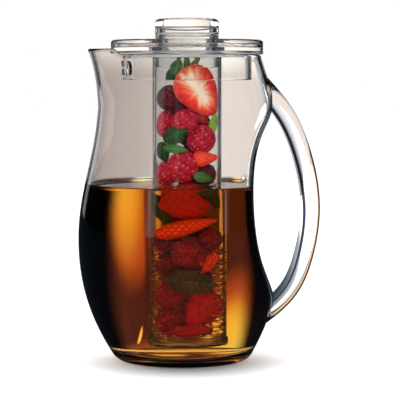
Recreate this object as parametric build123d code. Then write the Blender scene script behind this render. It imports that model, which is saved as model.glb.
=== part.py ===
from build123d import *

import os
from math import cos, exp, log, pi, radians, sin, tau

# Fruit infuser jug: a clear acrylic jug with a bonded handle, a two tier lid that lifts off,
# a slotted fruit tube that screws to the lid, and a screw knob over the mouth of the tube.
# Millimetres. The origin is on the axis of the lid and tube, at the flat base of the jug.
# +Z is up, the handle is on the +X side and the spout on the -X side.

# Jug body, a round whose centre lies a little towards the spout below the mouth.
RIM_Z = 238.5
BASE_RADIUS = 51.5
BASE_SHIFT = -3.5
BELLY_Z = 95.0
BELLY_RADIUS = 79.5
BELLY_SHIFT = -5.5
BELLY_POWER = 2.2
SHOULDER_DROP = 41.5
SHOULDER_RADIUS = 68.6
NECK_DROP = 35.5
NECK_SOFTNESS = 5.0
MOUTH_RADIUS = 57.2
BODY_WALL = 3.2
FLOOR_THICKNESS = 5.5
BASE_EDGE_RADIUS = 5.0
FLOOR_CORNER_RADIUS = 8.0

# Spout, pulled out of the mouth.
LIP_RISE = 4.5
LIP_REACH = 77.5
SPOUT_DEPTH = 42.5
SPOUT_GROWTH = 1.5
SPOUT_HALF_ANGLE = radians(24)

# Concave scoop on the handle side, seen from the side: X, and the share of the way from its
# foot up to its top.
SCOOP_FOOT_Z = 38.0
SCOOP_DROP = 26.0
SCOOP_SIDE = (
    (75.0, 1.0),
    (67.6, 0.905),
    (57.7, 0.794),
    (51.6, 0.653),
    (50.9, 0.499),
    (55.0, 0.298),
    (65.2, 0.117),
    (74.0, 0.0),
)

# Handle: centre line of the bar, as X and the share of the way from its lower root up to its
# upper root, and its rounded section. Both roots lie inside the wall.
HANDLE_FOOT_Z = 31.5
HANDLE_DROP = 19.0
HANDLE_LINE = (
    (53.5, 1.0),
    (61.0, 0.957),
    (76.1, 0.854),
    (89.2, 0.694),
    (96.3, 0.473),
    (91.8, 0.282),
    (80.5, 0.133),
    (60.5, 0.027),
    (53.5, 0.0),
)
HANDLE_THICKNESS = 15.2
HANDLE_WIDTH = 21.0
HANDLE_EDGE_RADIUS = 6.5
BOND_LINE = 0.05

# Fits that the lid, the tube and the knob share.
SCREW_CLEARANCE = 0.08
SEAT_GAP = 0.05
SOFT_GAP = 0.3

# Lid: pour guard below, cover above.
LID_OVERHANG = 2.1
GUARD_HEIGHT = 5.45
GUARD_PLATE = 2.6
LID_EDGE_RADIUS = 1.2
SKIRT_GAP = 3.7
SKIRT_WALL = 2.6
SKIRT_DEPTH = 20.0
COVER_HEIGHT = 6.0
COVER_PLATE = 3.0
COVER_RIM_WIDTH = 4.0
COVER_EDGE_RADIUS = 2.8
BOSS_WALL = 2.5
BOSS_HEIGHT = 4.1

# Pour slots in the skirt, on the spout side.
POUR_SLOTS = 3
POUR_SLOT_WIDTH = 9.0
POUR_SLOT_HEIGHT = 11.0
POUR_SLOT_ANGLE = radians(16)
POUR_SLOT_MARGIN = 2.6

# Soft ring in a groove at the top of the skirt.
LID_SEAL_HEIGHT = 2.6
LID_SEAL_GROOVE = 0.6

# Fruit tube.
TUBE_RADIUS = 27.0
TUBE_WALL = 2.4
TUBE_BOTTOM = 22.05
NECK_WALL = 2.3
NECK_LENGTH = 13.4
TUBE_SEAL_THICKNESS = 1.2
SLOT_ROWS = 9
SLOT_COLUMNS = 6
SLOT_PITCH = 7.6
SLOT_FIRST = 3.6
SLOT_HEIGHT = 3.6
SLOT_WIDTH = 18.6

# Base cap on a narrower spigot at the foot of the tube.
CAP_OVERHANG = 1.0
CAP_WALL = 2.4
CAP_FLOOR = 1.8
CAP_HEIGHT = 6.5
CAP_EDGE_RADIUS = 2.2
SPIGOT_WALL = 2.4
SPIGOT_LEDGE = 1.4
BASE_SEAL_THICKNESS = 0.8

# Knob.
KNOB_OVERHANG = 0.05
KNOB_HEIGHT = 12.4
KNOB_EDGE_RADIUS = 3.6
KNOB_TOP = 2.6
KNOB_CROWN = 0.5
STEM_WALL = 2.2
STEM_LENGTH = 13.0
DISH_RADIUS = 17.0
DISH_DEPTH = 3.9
KNOB_SEAL_WIDTH = 1.5
KNOB_SEAL_THICKNESS = 1.2

# Sizes that follow from the ones above.
BODY_TOP = RIM_Z + 2 * LIP_RISE
BODY_SECTIONS = 14
CORNER_SECTIONS = 3
SECTION_POINTS = 36
FAR = 2 * BELLY_RADIUS
SAME = 1e-4
SHOULDER_Z = RIM_Z - SHOULDER_DROP
NECK_Z = RIM_Z - NECK_DROP
SPOUT_ROOT_Z = RIM_Z - SPOUT_DEPTH
LIP_Z = RIM_Z + LIP_RISE
LID_RADIUS = MOUTH_RADIUS + LID_OVERHANG
SKIRT_RADIUS = MOUTH_RADIUS - BODY_WALL - SKIRT_GAP
GUARD_BOTTOM = RIM_Z + SEAT_GAP
GUARD_TOP = GUARD_BOTTOM + GUARD_HEIGHT
PLATE_BOTTOM = GUARD_TOP - GUARD_PLATE
SKIRT_BOTTOM = RIM_Z - SKIRT_DEPTH
COVER_TOP = GUARD_TOP + COVER_HEIGHT
BOSS_TOP = COVER_TOP + BOSS_HEIGHT
NECK_RADIUS = TUBE_RADIUS - TUBE_WALL - SCREW_CLEARANCE
NECK_BORE = NECK_RADIUS - NECK_WALL
BOSS_RADIUS = NECK_BORE + BOSS_WALL
KNOB_RADIUS = BOSS_RADIUS + KNOB_OVERHANG
CAP_RADIUS = TUBE_RADIUS + CAP_OVERHANG
TUBE_TOP = PLATE_BOTTOM - TUBE_SEAL_THICKNESS - 2 * SEAT_GAP
SPIGOT_RADIUS = CAP_RADIUS - CAP_WALL - SCREW_CLEARANCE
SPIGOT_BORE = SPIGOT_RADIUS - SPIGOT_WALL
CAP_TOP = TUBE_BOTTOM - SEAT_GAP
CAP_BOTTOM = CAP_TOP - CAP_HEIGHT
SPIGOT_BOTTOM = CAP_BOTTOM + CAP_FLOOR + BASE_SEAL_THICKNESS + 2 * SEAT_GAP
STEM_RADIUS = NECK_BORE - SCREW_CLEARANCE
STEM_BORE = STEM_RADIUS - STEM_WALL
KNOB_BOTTOM = BOSS_TOP + SEAT_GAP
KNOB_SHOULDER = KNOB_BOTTOM + KNOB_HEIGHT - KNOB_CROWN
LID_SEAL_TOP = GUARD_BOTTOM - SOFT_GAP


def turned(*corners):
    """A solid of revolution about the lid's axis, from its half section as (radius, height)."""
    outline = Polyline(*[(radius, 0, height) for radius, height in corners], close=True)
    return revolve(make_face(outline), Axis.Z)


def ring(inner, outer, low, high):
    """A plain ring or, with an inner radius of zero, a disc."""
    return turned((inner, low), (outer, low), (outer, high), (inner, high))


def outer_edges(shape, radius, height):
    """The round edges of a shape at one radius and height."""
    return [
        edge
        for edge in shape.edges().filter_by(GeomType.CIRCLE)
        if abs(edge.radius - radius) < SAME and abs(edge.center().Z - height) < SAME
    ]


def neck_bend(height):
    """Grows from nothing below the neck to a straight slope above it, with a soft start."""
    return log(1 + exp((height - NECK_Z) / NECK_SOFTNESS))


def body_radius(height):
    """Radius of the jug's round: full below the belly, easing in to the shoulder and mouth."""
    if height < BELLY_Z:
        rise = 1 - (1 - height / BELLY_Z) ** BELLY_POWER
        return BASE_RADIUS + (BELLY_RADIUS - BASE_RADIUS) * rise
    share = min(1.0, (height - BELLY_Z) / (SHOULDER_Z - BELLY_Z))
    ease = (1 + cos(pi * share)) / 2
    neck = neck_bend(height) / neck_bend(RIM_Z)
    shoulder = SHOULDER_RADIUS + (BELLY_RADIUS - SHOULDER_RADIUS) * ease
    return shoulder - (SHOULDER_RADIUS - MOUTH_RADIUS) * neck


def body_shift(height):
    """Where the centre of the jug's round lies along X."""
    if height < BELLY_Z:
        rise = 1 - (1 - height / BELLY_Z) ** BELLY_POWER
        return BASE_SHIFT + (BELLY_SHIFT - BASE_SHIFT) * rise
    share = min(1.0, (height - BELLY_Z) / (RIM_Z - BELLY_Z))
    return BELLY_SHIFT * (1 + cos(pi * share)) / 2


def spout_pull(height):
    """How far the spout stands out beyond the round of the mouth at a height."""
    share = max(0.0, (height - SPOUT_ROOT_Z) / (LIP_Z - SPOUT_ROOT_Z))
    return (LIP_REACH - body_radius(LIP_Z)) * share**SPOUT_GROWTH


def body_section(height, inset):
    """Closed outline of the jug at a height: a circle with the spout pulled out towards -X."""
    centre = body_shift(height)
    points = []
    for index in range(SECTION_POINTS):
        angle = tau * index / SECTION_POINTS
        from_spout = abs(angle - pi) / SPOUT_HALF_ANGLE
        reach = body_radius(height) - inset + spout_pull(height) * exp(-(from_spout**2))
        points.append((centre + reach * cos(angle), reach * sin(angle), height))
    return Wire([Spline(*points, periodic=True)])


def body_round(inset, floor, corner):
    """The jug's round, drawn in by an inset, with a quarter round from the wall into the floor."""
    wires = []
    for step in range(CORNER_SECTIONS + 1):
        angle = pi / 2 * step / CORNER_SECTIONS
        height = floor + corner * (1 - cos(angle))
        wires.append(body_section(height, inset + corner * (1 - sin(angle))))
    start = floor + corner
    for step in range(1, BODY_SECTIONS + 1):
        wires.append(body_section(start + (BODY_TOP - start) * step / BODY_SECTIONS, inset))
    return Solid.make_loft(wires)


def side_points(side, foot, top):
    """Points in the plane Y = 0, from pairs of X and the share of the way from foot to top."""
    return [Vector(x, 0, foot + (top - foot) * share) for x, share in side]


def scoop(inset):
    """What the scoop on the handle side takes away, moved inwards by an inset."""
    side = Spline(*side_points(SCOOP_SIDE, SCOOP_FOOT_Z, RIM_Z - SCOOP_DROP))
    last = len(SCOOP_SIDE) - 1
    points = []
    for index in range(last + 1):
        along = side.tangent_at(index / last)
        points.append(side.position_at(index / last) + Vector(along.Z, 0, -along.X) * inset)
    curve = Spline(*points)
    top, bottom = points[0], points[-1]
    rest = Polyline(bottom, (FAR, 0, bottom.Z), (FAR, 0, top.Z), top)
    return extrude(make_face(Wire([curve, *rest.edges()])), FAR, dir=(0, 1, 0), both=True)


def above_rim():
    """Everything above the rim, which is flat under the lid and climbs along the spout."""
    start = LID_RADIUS + SOFT_GAP
    climb = Spline(
        (-LIP_REACH, 0, LIP_Z),
        (-start, 0, RIM_Z),
        tangents=((LIP_REACH - start, 0, -2 * LIP_RISE), (1, 0, 0)),
    )
    top = RIM_Z + FAR
    rest = Polyline(
        (-start, 0, RIM_Z),
        (FAR, 0, RIM_Z),
        (FAR, 0, top),
        (-FAR, 0, top),
        (-FAR, 0, LIP_Z),
        (-LIP_REACH, 0, LIP_Z),
    )
    return extrude(make_face(Wire([climb, *rest.edges()])), FAR, dir=(0, 1, 0), both=True)


def body_outside(growth):
    """The jug as if it were solid, with the scoop but without the cut at the rim."""
    return body_round(-growth, 0.0, BASE_EDGE_RADIUS) - scoop(-growth)


def jug_body():
    """Hollow jug with a thick floor, rounded inside and outside corners and a raised lip."""
    cavity = body_round(BODY_WALL, FLOOR_THICKNESS, FLOOR_CORNER_RADIUS) - scoop(BODY_WALL)
    return body_outside(0.0) - above_rim() - cavity


def handle():
    """Bow of rounded section whose ends lie on the shoulder and on the lower belly."""
    line = Spline(*side_points(HANDLE_LINE, HANDLE_FOOT_Z, RIM_Z - HANDLE_DROP))
    start = Plane(line.position_at(0), x_dir=(0, 1, 0), z_dir=line.tangent_at(0))
    section = start * RectangleRounded(HANDLE_WIDTH, HANDLE_THICKNESS, HANDLE_EDGE_RADIUS)
    bar = sweep(section, path=line)
    return bar - body_outside(BOND_LINE)


def slots_through(radius, wall, middle, angles, width, height):
    """Round ended slots that go out through a round wall, at one height and at several angles."""
    cuts = []
    for angle in angles:
        outward = Vector(cos(angle), sin(angle), 0)
        start = outward * (radius - 3 * wall) + Vector(0, 0, middle)
        plane = Plane(start, x_dir=(0, 0, 1), z_dir=outward)
        turn = 0 if height > width else 90
        outline = SlotOverall(max(width, height), min(width, height), rotation=turn)
        cuts.append(extrude(plane * outline, 4 * wall))
    return cuts


def pour_slots():
    """Slots through the skirt, side by side on the spout side."""
    top = LID_SEAL_TOP - LID_SEAL_HEIGHT - 2 * SEAT_GAP - POUR_SLOT_MARGIN
    middle = top - POUR_SLOT_HEIGHT / 2
    angles = [pi + (index - (POUR_SLOTS - 1) / 2) * POUR_SLOT_ANGLE for index in range(POUR_SLOTS)]
    return slots_through(
        SKIRT_RADIUS, SKIRT_WALL, middle, angles, POUR_SLOT_WIDTH, POUR_SLOT_HEIGHT
    )


def pour_guard():
    """Lower disc of the lid, with the skirt in the mouth and the neck that carries the tube."""
    skirt_bore = SKIRT_RADIUS - SKIRT_WALL
    groove_radius = SKIRT_RADIUS - LID_SEAL_GROOVE
    groove_top = LID_SEAL_TOP + SEAT_GAP
    groove_bottom = LID_SEAL_TOP - LID_SEAL_HEIGHT - SEAT_GAP
    shape = turned(
        (NECK_BORE, PLATE_BOTTOM - NECK_LENGTH),
        (NECK_RADIUS, PLATE_BOTTOM - NECK_LENGTH),
        (NECK_RADIUS, PLATE_BOTTOM),
        (skirt_bore, PLATE_BOTTOM),
        (skirt_bore, SKIRT_BOTTOM),
        (SKIRT_RADIUS, SKIRT_BOTTOM),
        (SKIRT_RADIUS, groove_bottom),
        (groove_radius, groove_bottom),
        (groove_radius, groove_top),
        (SKIRT_RADIUS, groove_top),
        (SKIRT_RADIUS, GUARD_BOTTOM),
        (LID_RADIUS, GUARD_BOTTOM),
        (LID_RADIUS, GUARD_TOP),
        (NECK_BORE, GUARD_TOP),
    )
    shape = fillet(outer_edges(shape, LID_RADIUS, GUARD_BOTTOM), LID_EDGE_RADIUS)
    return shape - pour_slots()


def lid_cover():
    """Upper disc of the lid, hollow below, with the raised boss that the knob sits on."""
    plate = COVER_TOP - COVER_PLATE
    shape = turned(
        (NECK_BORE, GUARD_TOP),
        (BOSS_RADIUS, GUARD_TOP),
        (BOSS_RADIUS, plate),
        (LID_RADIUS - COVER_RIM_WIDTH, plate),
        (LID_RADIUS - COVER_RIM_WIDTH, GUARD_TOP),
        (LID_RADIUS, GUARD_TOP),
        (LID_RADIUS, COVER_TOP),
        (BOSS_RADIUS, COVER_TOP),
        (BOSS_RADIUS, BOSS_TOP),
        (NECK_BORE, BOSS_TOP),
    )
    return fillet(outer_edges(shape, LID_RADIUS, COVER_TOP), COVER_EDGE_RADIUS)


def lid_seal():
    """Soft ring that sits in the groove of the skirt and fills the gap to the mouth."""
    inner = SKIRT_RADIUS - LID_SEAL_GROOVE + SEAT_GAP
    bulge = MOUTH_RADIUS - BODY_WALL - SOFT_GAP
    low = LID_SEAL_TOP - LID_SEAL_HEIGHT
    flat = bulge - LID_SEAL_HEIGHT / 2
    nose = ThreePointArc((flat, 0, low), (bulge, 0, low + LID_SEAL_HEIGHT / 2), (flat, 0, LID_SEAL_TOP))
    back = Polyline((flat, 0, LID_SEAL_TOP), (inner, 0, LID_SEAL_TOP), (inner, 0, low), (flat, 0, low))
    return revolve(make_face(Wire([nose, *back.edges()])), Axis.Z)


def infuser_tube():
    """Fruit tube with rows of slots round its lower part and a narrower spigot at its foot."""
    bore = TUBE_RADIUS - TUBE_WALL
    shape = turned(
        (SPIGOT_BORE, SPIGOT_BOTTOM),
        (SPIGOT_RADIUS, SPIGOT_BOTTOM),
        (SPIGOT_RADIUS, TUBE_BOTTOM),
        (TUBE_RADIUS, TUBE_BOTTOM),
        (TUBE_RADIUS, TUBE_TOP),
        (bore, TUBE_TOP),
        (bore, TUBE_BOTTOM + SPIGOT_LEDGE),
        (SPIGOT_BORE, TUBE_BOTTOM + SPIGOT_LEDGE),
    )
    quarter = tau / 4
    angles = [quarter + tau * column / SLOT_COLUMNS for column in range(SLOT_COLUMNS)]
    cuts = []
    for row in range(SLOT_ROWS):
        middle = TUBE_BOTTOM + SLOT_FIRST + row * SLOT_PITCH
        cuts += slots_through(TUBE_RADIUS, TUBE_WALL, middle, angles, SLOT_WIDTH, SLOT_HEIGHT)
    return shape - cuts


def infuser_base_cap():
    """Cup with a rounded lower edge that screws over the spigot of the tube."""
    shape = turned(
        (0, CAP_BOTTOM),
        (CAP_RADIUS, CAP_BOTTOM),
        (CAP_RADIUS, CAP_TOP),
        (CAP_RADIUS - CAP_WALL, CAP_TOP),
        (CAP_RADIUS - CAP_WALL, CAP_BOTTOM + CAP_FLOOR),
        (0, CAP_BOTTOM + CAP_FLOOR),
    )
    return fillet(outer_edges(shape, CAP_RADIUS, CAP_BOTTOM), CAP_EDGE_RADIUS)


def tube_seal():
    """Flat washer between the top edge of the tube and the lid."""
    low = TUBE_TOP + SEAT_GAP
    return ring(NECK_RADIUS + SOFT_GAP, TUBE_RADIUS, low, low + TUBE_SEAL_THICKNESS)


def base_seal():
    """Flat washer on the floor of the base cap, under the end of the spigot."""
    low = CAP_BOTTOM + CAP_FLOOR + SEAT_GAP
    return ring(SPIGOT_BORE, SPIGOT_RADIUS, low, low + BASE_SEAL_THICKNESS)


def knob_seal():
    """Flat washer on the boss, in the recess under the knob."""
    inner = STEM_RADIUS + SOFT_GAP
    low = BOSS_TOP + SEAT_GAP
    return ring(inner, inner + KNOB_SEAL_WIDTH, low, low + KNOB_SEAL_THICKNESS)


def knob():
    """Hollow knob with a bowl in its slightly crowned top and a stem that screws into the neck."""
    crown = KNOB_SHOULDER + KNOB_CROWN
    recess_radius = STEM_RADIUS + KNOB_SEAL_WIDTH + 2 * SOFT_GAP
    recess_top = KNOB_BOTTOM + KNOB_SEAL_THICKNESS + SEAT_GAP
    ceiling = crown - DISH_DEPTH - KNOB_TOP
    shape = turned(
        (0, ceiling),
        (STEM_BORE, ceiling),
        (STEM_BORE, BOSS_TOP - STEM_LENGTH),
        (STEM_RADIUS, BOSS_TOP - STEM_LENGTH),
        (STEM_RADIUS, recess_top),
        (recess_radius, recess_top),
        (recess_radius, KNOB_BOTTOM),
        (KNOB_RADIUS, KNOB_BOTTOM),
        (KNOB_RADIUS, KNOB_SHOULDER),
        (DISH_RADIUS, crown),
        (0, crown),
    )
    shape = fillet(outer_edges(shape, KNOB_RADIUS, KNOB_SHOULDER), KNOB_EDGE_RADIUS)
    bowl_radius = (DISH_RADIUS**2 + DISH_DEPTH**2) / (2 * DISH_DEPTH)
    return shape - Pos(0, 0, crown - DISH_DEPTH + bowl_radius) * Sphere(bowl_radius)


PIECES = {
    "jug_body": jug_body,
    "handle": handle,
    "pour_guard": pour_guard,
    "lid_cover": lid_cover,
    "lid_seal": lid_seal,
    "knob": knob,
    "knob_seal": knob_seal,
    "infuser_tube": infuser_tube,
    "tube_seal": tube_seal,
    "infuser_base_cap": infuser_base_cap,
    "base_seal": base_seal,
}

os.makedirs("parts", exist_ok=True)
for name, make in PIECES.items():
    export_step(make(), f"parts/{name}.step")
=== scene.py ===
"""Looks of the fruit infuser jug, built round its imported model.

Sizes are in millimetres until a mesh is made, and metres from there on. The frame is the
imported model's: +Z up along the axis of the lid and the fruit tube, +X towards the handle,
-X towards the spout, and Z = 0 at the base that the jug stands on.
"""

from __future__ import annotations

import logging
from dataclasses import dataclass
from enum import Enum
from math import pi, radians, tau
from typing import Sequence

import bpy
import numpy as np
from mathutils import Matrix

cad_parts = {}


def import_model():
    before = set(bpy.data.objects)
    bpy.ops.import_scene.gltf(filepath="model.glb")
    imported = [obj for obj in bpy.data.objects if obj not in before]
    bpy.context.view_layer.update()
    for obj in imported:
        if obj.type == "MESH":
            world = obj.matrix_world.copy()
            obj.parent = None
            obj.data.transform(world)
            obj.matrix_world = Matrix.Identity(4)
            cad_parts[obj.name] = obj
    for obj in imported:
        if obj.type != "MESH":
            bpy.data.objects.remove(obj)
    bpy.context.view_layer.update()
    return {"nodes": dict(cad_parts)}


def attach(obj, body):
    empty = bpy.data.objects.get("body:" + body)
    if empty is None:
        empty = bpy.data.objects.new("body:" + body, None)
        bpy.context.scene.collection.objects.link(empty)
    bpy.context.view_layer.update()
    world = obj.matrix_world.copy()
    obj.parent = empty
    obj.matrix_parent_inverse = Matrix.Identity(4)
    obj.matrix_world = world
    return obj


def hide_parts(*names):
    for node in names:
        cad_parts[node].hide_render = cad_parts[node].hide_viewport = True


Array = np.ndarray
Triple = tuple[float, float, float]
Steps = tuple[tuple[float, str], ...]

MM = 0.001

# Digits to which places in millimetres and angles in radians have to agree to be welded.
PLACE_DIGITS = 4
ANGLE_DIGITS = 6

log = logging.getLogger("jug")


# Small tools for arrays, meshes, nodes and the frame's bodies.


def linear(code: str) -> tuple[float, float, float, float]:
    """Turns an sRGB hex colour into linear light.

    Args:
        code: six hex digits, such as "f0a01e".

    Returns:
        Red, green, blue and an alpha of one, each from 0 to 1.
    """
    parts = np.array([int(code[i : i + 2], 16) for i in (0, 2, 4)]) / 255
    light = np.where(parts <= 0.04045, parts / 12.92, ((parts + 0.055) / 1.055) ** 2.4)
    return (float(light[0]), float(light[1]), float(light[2]), 1.0)


def smooth_step(value: Array, low: float, high: float) -> Array:
    """Eases from 0 at low to 1 at high, as 3 t squared minus 2 t cubed."""
    share = np.clip((value - low) / (high - low), 0, 1)
    return share * share * (3 - 2 * share)


def smooth_least(first: Array, second: Array, blend: float) -> Array:
    """The lesser of two arrays, rounded over where they are within a blend of each other.

    It is the plain minimum less a parabola: with h running from 0 to 1 across the blend, the
    result is the mix of both by h, less blend times h times (1 - h).

    Args:
        first: one array.
        second: the other.
        blend: how near they have to be to be rounded.

    Returns:
        The rounded lesser values.
    """
    h = np.clip(0.5 + 0.5 * (second - first) / blend, 0, 1)
    return second + (first - second) * h - blend * h * (1 - h)


def natural_spline(knots: Sequence[float], values: Array, at: Array) -> Array:
    """Cubic spline through values at knots, with no bend at either end.

    The second derivatives solve the usual three term system, and each span is the cubic that
    they and the two end values give. Past the ends the end tangents run on.

    Args:
        knots: rising parameters of the given points.
        values: one row for each knot.
        at: parameters to work the spline out for.

    Returns:
        One row for each parameter.
    """
    t = np.asarray(knots, float)
    v = np.asarray(values, float).reshape(len(t), -1)
    h = np.diff(t)
    system = np.eye(len(t))
    right = np.zeros_like(v)
    inner = np.arange(1, len(t) - 1)
    system[inner, inner - 1] = h[:-1]
    system[inner, inner] = 2 * (h[:-1] + h[1:])
    system[inner, inner + 1] = h[1:]
    slope = np.diff(v, axis=0) / h[:, None]
    right[inner] = 6 * np.diff(slope, axis=0)
    bend = np.linalg.solve(system, right)
    s = np.asarray(at, float).ravel()
    span = np.clip(np.searchsorted(t, s) - 1, 0, len(h) - 1)
    inside = np.clip(s, t[0], t[-1])
    a = ((t[span + 1] - inside) / h[span])[:, None]
    b = 1 - a
    step = h[span][:, None]
    curve = a * v[span] + b * v[span + 1]
    curve += ((a**3 - a) * bend[span] + (b**3 - b) * bend[span + 1]) * step**2 / 6
    tangent = slope[span] - step / 6 * ((3 * a**2 - 1) * bend[span] - (3 * b**2 - 1) * bend[span + 1])
    return curve + tangent * (s - inside)[:, None]


def grid_faces(rows: int, columns: int, around: bool = True) -> Array:
    """Quads over a grid of points numbered row by row.

    Args:
        rows: number of rows of points.
        columns: points in each row.
        around: whether the last column joins the first.

    Returns:
        Four point numbers a face.
    """
    row = np.arange(rows - 1)[:, None] * columns
    column = np.arange(columns if around else columns - 1)[None, :]
    after = (column + 1) % columns
    quads = np.stack([row + column, row + after, row + columns + after, row + columns + column], -1)
    return quads.reshape(-1, 4)


def fan_faces(ring: Array, pole: int, flip: bool = False) -> Array:
    """Triangles from a ring of points to a pole.

    Args:
        ring: point numbers in order round the ring.
        pole: number of the pole's point.
        flip: whether the triangles run against the ring.

    Returns:
        Three point numbers a face.
    """
    after = np.roll(ring, -1)
    order = (after, ring) if flip else (ring, after)
    return np.stack([order[0], order[1], np.full(len(ring), pole)], -1)


def capped_faces(rows: int, columns: int) -> tuple[Array, Array, Array]:
    """Faces of a grid that goes all the way round, with a pole at either end.

    Args:
        rows: number of rows of points.
        columns: points in each row.

    Returns:
        The grid's quads, and the triangles to the poles, which are the two points after it.
    """
    count, ring = rows * columns, np.arange(columns)
    last = ring + count - columns
    return grid_faces(rows, columns), fan_faces(ring, count, flip=True), fan_faces(last, count + 1)


def make_piece(name: str, points: Array, *faces: Array, smooth: bool = True) -> bpy.types.Object:
    """Makes a mesh object from arrays, at the origin, and links it to the scene.

    Args:
        name: the piece's name.
        points: one row of X, Y and Z in millimetres for each vertex.
        faces: arrays of point numbers, of three or four columns each.
        smooth: whether the faces are shaded smooth.

    Returns:
        The new object.
    """
    mesh = bpy.data.meshes.new(name)
    rows = [row for block in faces for row in np.asarray(block, int).tolist()]
    mesh.from_pydata((np.asarray(points, float) * MM).tolist(), [], rows)
    mesh.polygons.foreach_set("use_smooth", np.full(len(mesh.polygons), smooth))
    mesh.update()
    made = bpy.data.objects.new(name, mesh)
    bpy.context.scene.collection.objects.link(made)
    return made


def strip(outline: Array, angles: Array) -> tuple[Array, Array]:
    """Turns an outline about the Z axis: (r cos a, r sin a, z) for each point and angle.

    Args:
        outline: rows of radius and height, with the solid on the left.
        angles: angles round a full circle.

    Returns:
        Points, one row of the outline after another, and the quads between them.
    """
    r, z = outline[:, :1], outline[:, 1:]
    points = np.stack([r * np.cos(angles), r * np.sin(angles), z + 0 * angles], -1)
    return points.reshape(-1, 3), grid_faces(len(outline), len(angles))


def weld(parts: Sequence[tuple[Array, Array]]) -> tuple[Array, Array]:
    """Joins meshes of quads, with points that lie at the same place made one.

    Args:
        parts: pairs of points and quads.

    Returns:
        The points and quads of the whole.
    """
    starts = np.cumsum([0] + [len(points) for points, _ in parts[:-1]])
    points = np.vstack([points for points, _ in parts])
    faces = np.vstack([faces + start for (_, faces), start in zip(parts, starts)])
    _, first, place = np.unique(np.round(points, PLACE_DIGITS), axis=0, return_index=True,
                                return_inverse=True)
    return points[first], place.reshape(-1)[faces]


def lathe(name: str, outline: Array, columns: int = 192) -> bpy.types.Object:
    """Turns a closed outline about the Z axis into a closed shell.

    Args:
        name: the piece's name.
        outline: rows of radius and height, anticlockwise. One that meets the axis starts with
            its lower point there and ends with its upper one.
        columns: points round the circle.

    Returns:
        The new object.
    """
    angles = tau * np.arange(columns) / columns
    if outline[0, 0] > 0:
        return make_piece(name, *weld([strip(np.vstack([outline, outline[:1]]), angles)]))
    points = strip(outline[1:-1], angles)[0]
    poles = [[0, 0, outline[0, 1]], [0, 0, outline[-1, 1]]]
    return make_piece(name, np.vstack([points, poles]), *capped_faces(len(outline) - 2, columns))


def rounded_outline(corners: Sequence[tuple[float, float, float]], steps: int = 5) -> Array:
    """Closed outline with each corner rounded by its own radius.

    The arc meets each side at (radius / tan(half angle)) from the corner, and its points are
    the circle's, swept evenly from one of those places to the other.

    Args:
        corners: radius from the axis, height and corner radius of each corner, in order.
        steps: spans in each arc.

    Returns:
        Rows of radius and height.
    """
    spots = np.array([corner[:2] for corner in corners], float)
    made = []
    for index, (_, _, size) in enumerate(corners):
        here = spots[index]
        back = spots[index - 1] - here
        ahead = spots[(index + 1) % len(spots)] - here
        if size <= 0:
            made.append(here[None, :])
            continue
        back /= np.hypot(*back)
        ahead /= np.hypot(*ahead)
        half = np.arccos(np.clip(back @ ahead, -1, 1)) / 2
        middle = (back + ahead) / np.hypot(*(back + ahead))
        centre = here + middle * size / np.sin(half)
        first = here + back * size / np.tan(half) - centre
        last = here + ahead * size / np.tan(half) - centre
        start = np.arctan2(first[1], first[0])
        sweep = (np.arctan2(last[1], last[0]) - start + pi) % tau - pi
        angle = start + sweep * np.linspace(0, 1, steps + 1)
        made.append(centre + size * np.stack([np.cos(angle), np.sin(angle)], -1))
    return np.vstack(made)


def add_node(tree: bpy.types.NodeTree, kind: str, settings: dict | None = None,
             **links: bpy.types.NodeSocket) -> bpy.types.Node:
    """Adds a node, sets it up and links its inputs.

    Args:
        tree: the node tree.
        kind: the node's type name, such as "ShaderNodeMath".
        settings: attributes of the node by name, and input values by socket name or number.
        links: output sockets by the input's name, with spaces written as underscores.

    Returns:
        The new node.
    """
    node = tree.nodes.new(kind)
    for key, value in (settings or {}).items():
        if isinstance(key, int) or key in node.inputs:
            node.inputs[key].default_value = value
        else:
            setattr(node, key, value)
    for key, socket in links.items():
        name = key.replace("_", " ")
        place = int(name[2:]) if name.startswith("in") and name[2:].isdigit() else name
        tree.links.new(socket, node.inputs[place])
    return node


def new_material(name: str) -> tuple[bpy.types.Material, bpy.types.NodeTree, bpy.types.Node]:
    """Makes an empty node material.

    Args:
        name: the finish's name.

    Returns:
        The material, its tree and its output node.
    """
    material = bpy.data.materials.new(name)
    material.use_nodes = True
    tree = material.node_tree
    tree.nodes.clear()
    return material, tree, add_node(tree, "ShaderNodeOutputMaterial")


def dress(piece: bpy.types.Object, material: bpy.types.Material) -> None:
    """Gives a piece one material."""
    piece.data.materials.clear()
    piece.data.materials.append(material)


def set_ramp(ramp: bpy.types.ColorRamp, steps: Steps) -> None:
    """Fills a new colour ramp, which has two stops, with hex colours at rising places."""
    for index, (place, colour) in enumerate(steps):
        element = ramp.elements[index] if index < 2 else ramp.elements.new(place)
        element.position, element.color = place, linear(colour)


def color_steps(tree: bpy.types.NodeTree, value: bpy.types.NodeSocket,
                steps: Steps) -> bpy.types.NodeSocket:
    """Eases through hex colours at given values from -1 to 1.

    Args:
        tree: the node tree.
        value: socket with the value.
        steps: rising values and their colours.

    Returns:
        The socket with the colour.
    """
    share = add_node(tree, "ShaderNodeMapRange", {"From Min": -1.0, "From Max": 1.0}, Value=value)
    node = add_node(tree, "ShaderNodeValToRGB", Fac=share.outputs["Result"])
    node.color_ramp.interpolation = "EASE"
    set_ramp(node.color_ramp, tuple(((place + 1) / 2, colour) for place, colour in steps))
    return node.outputs["Color"]


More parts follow.
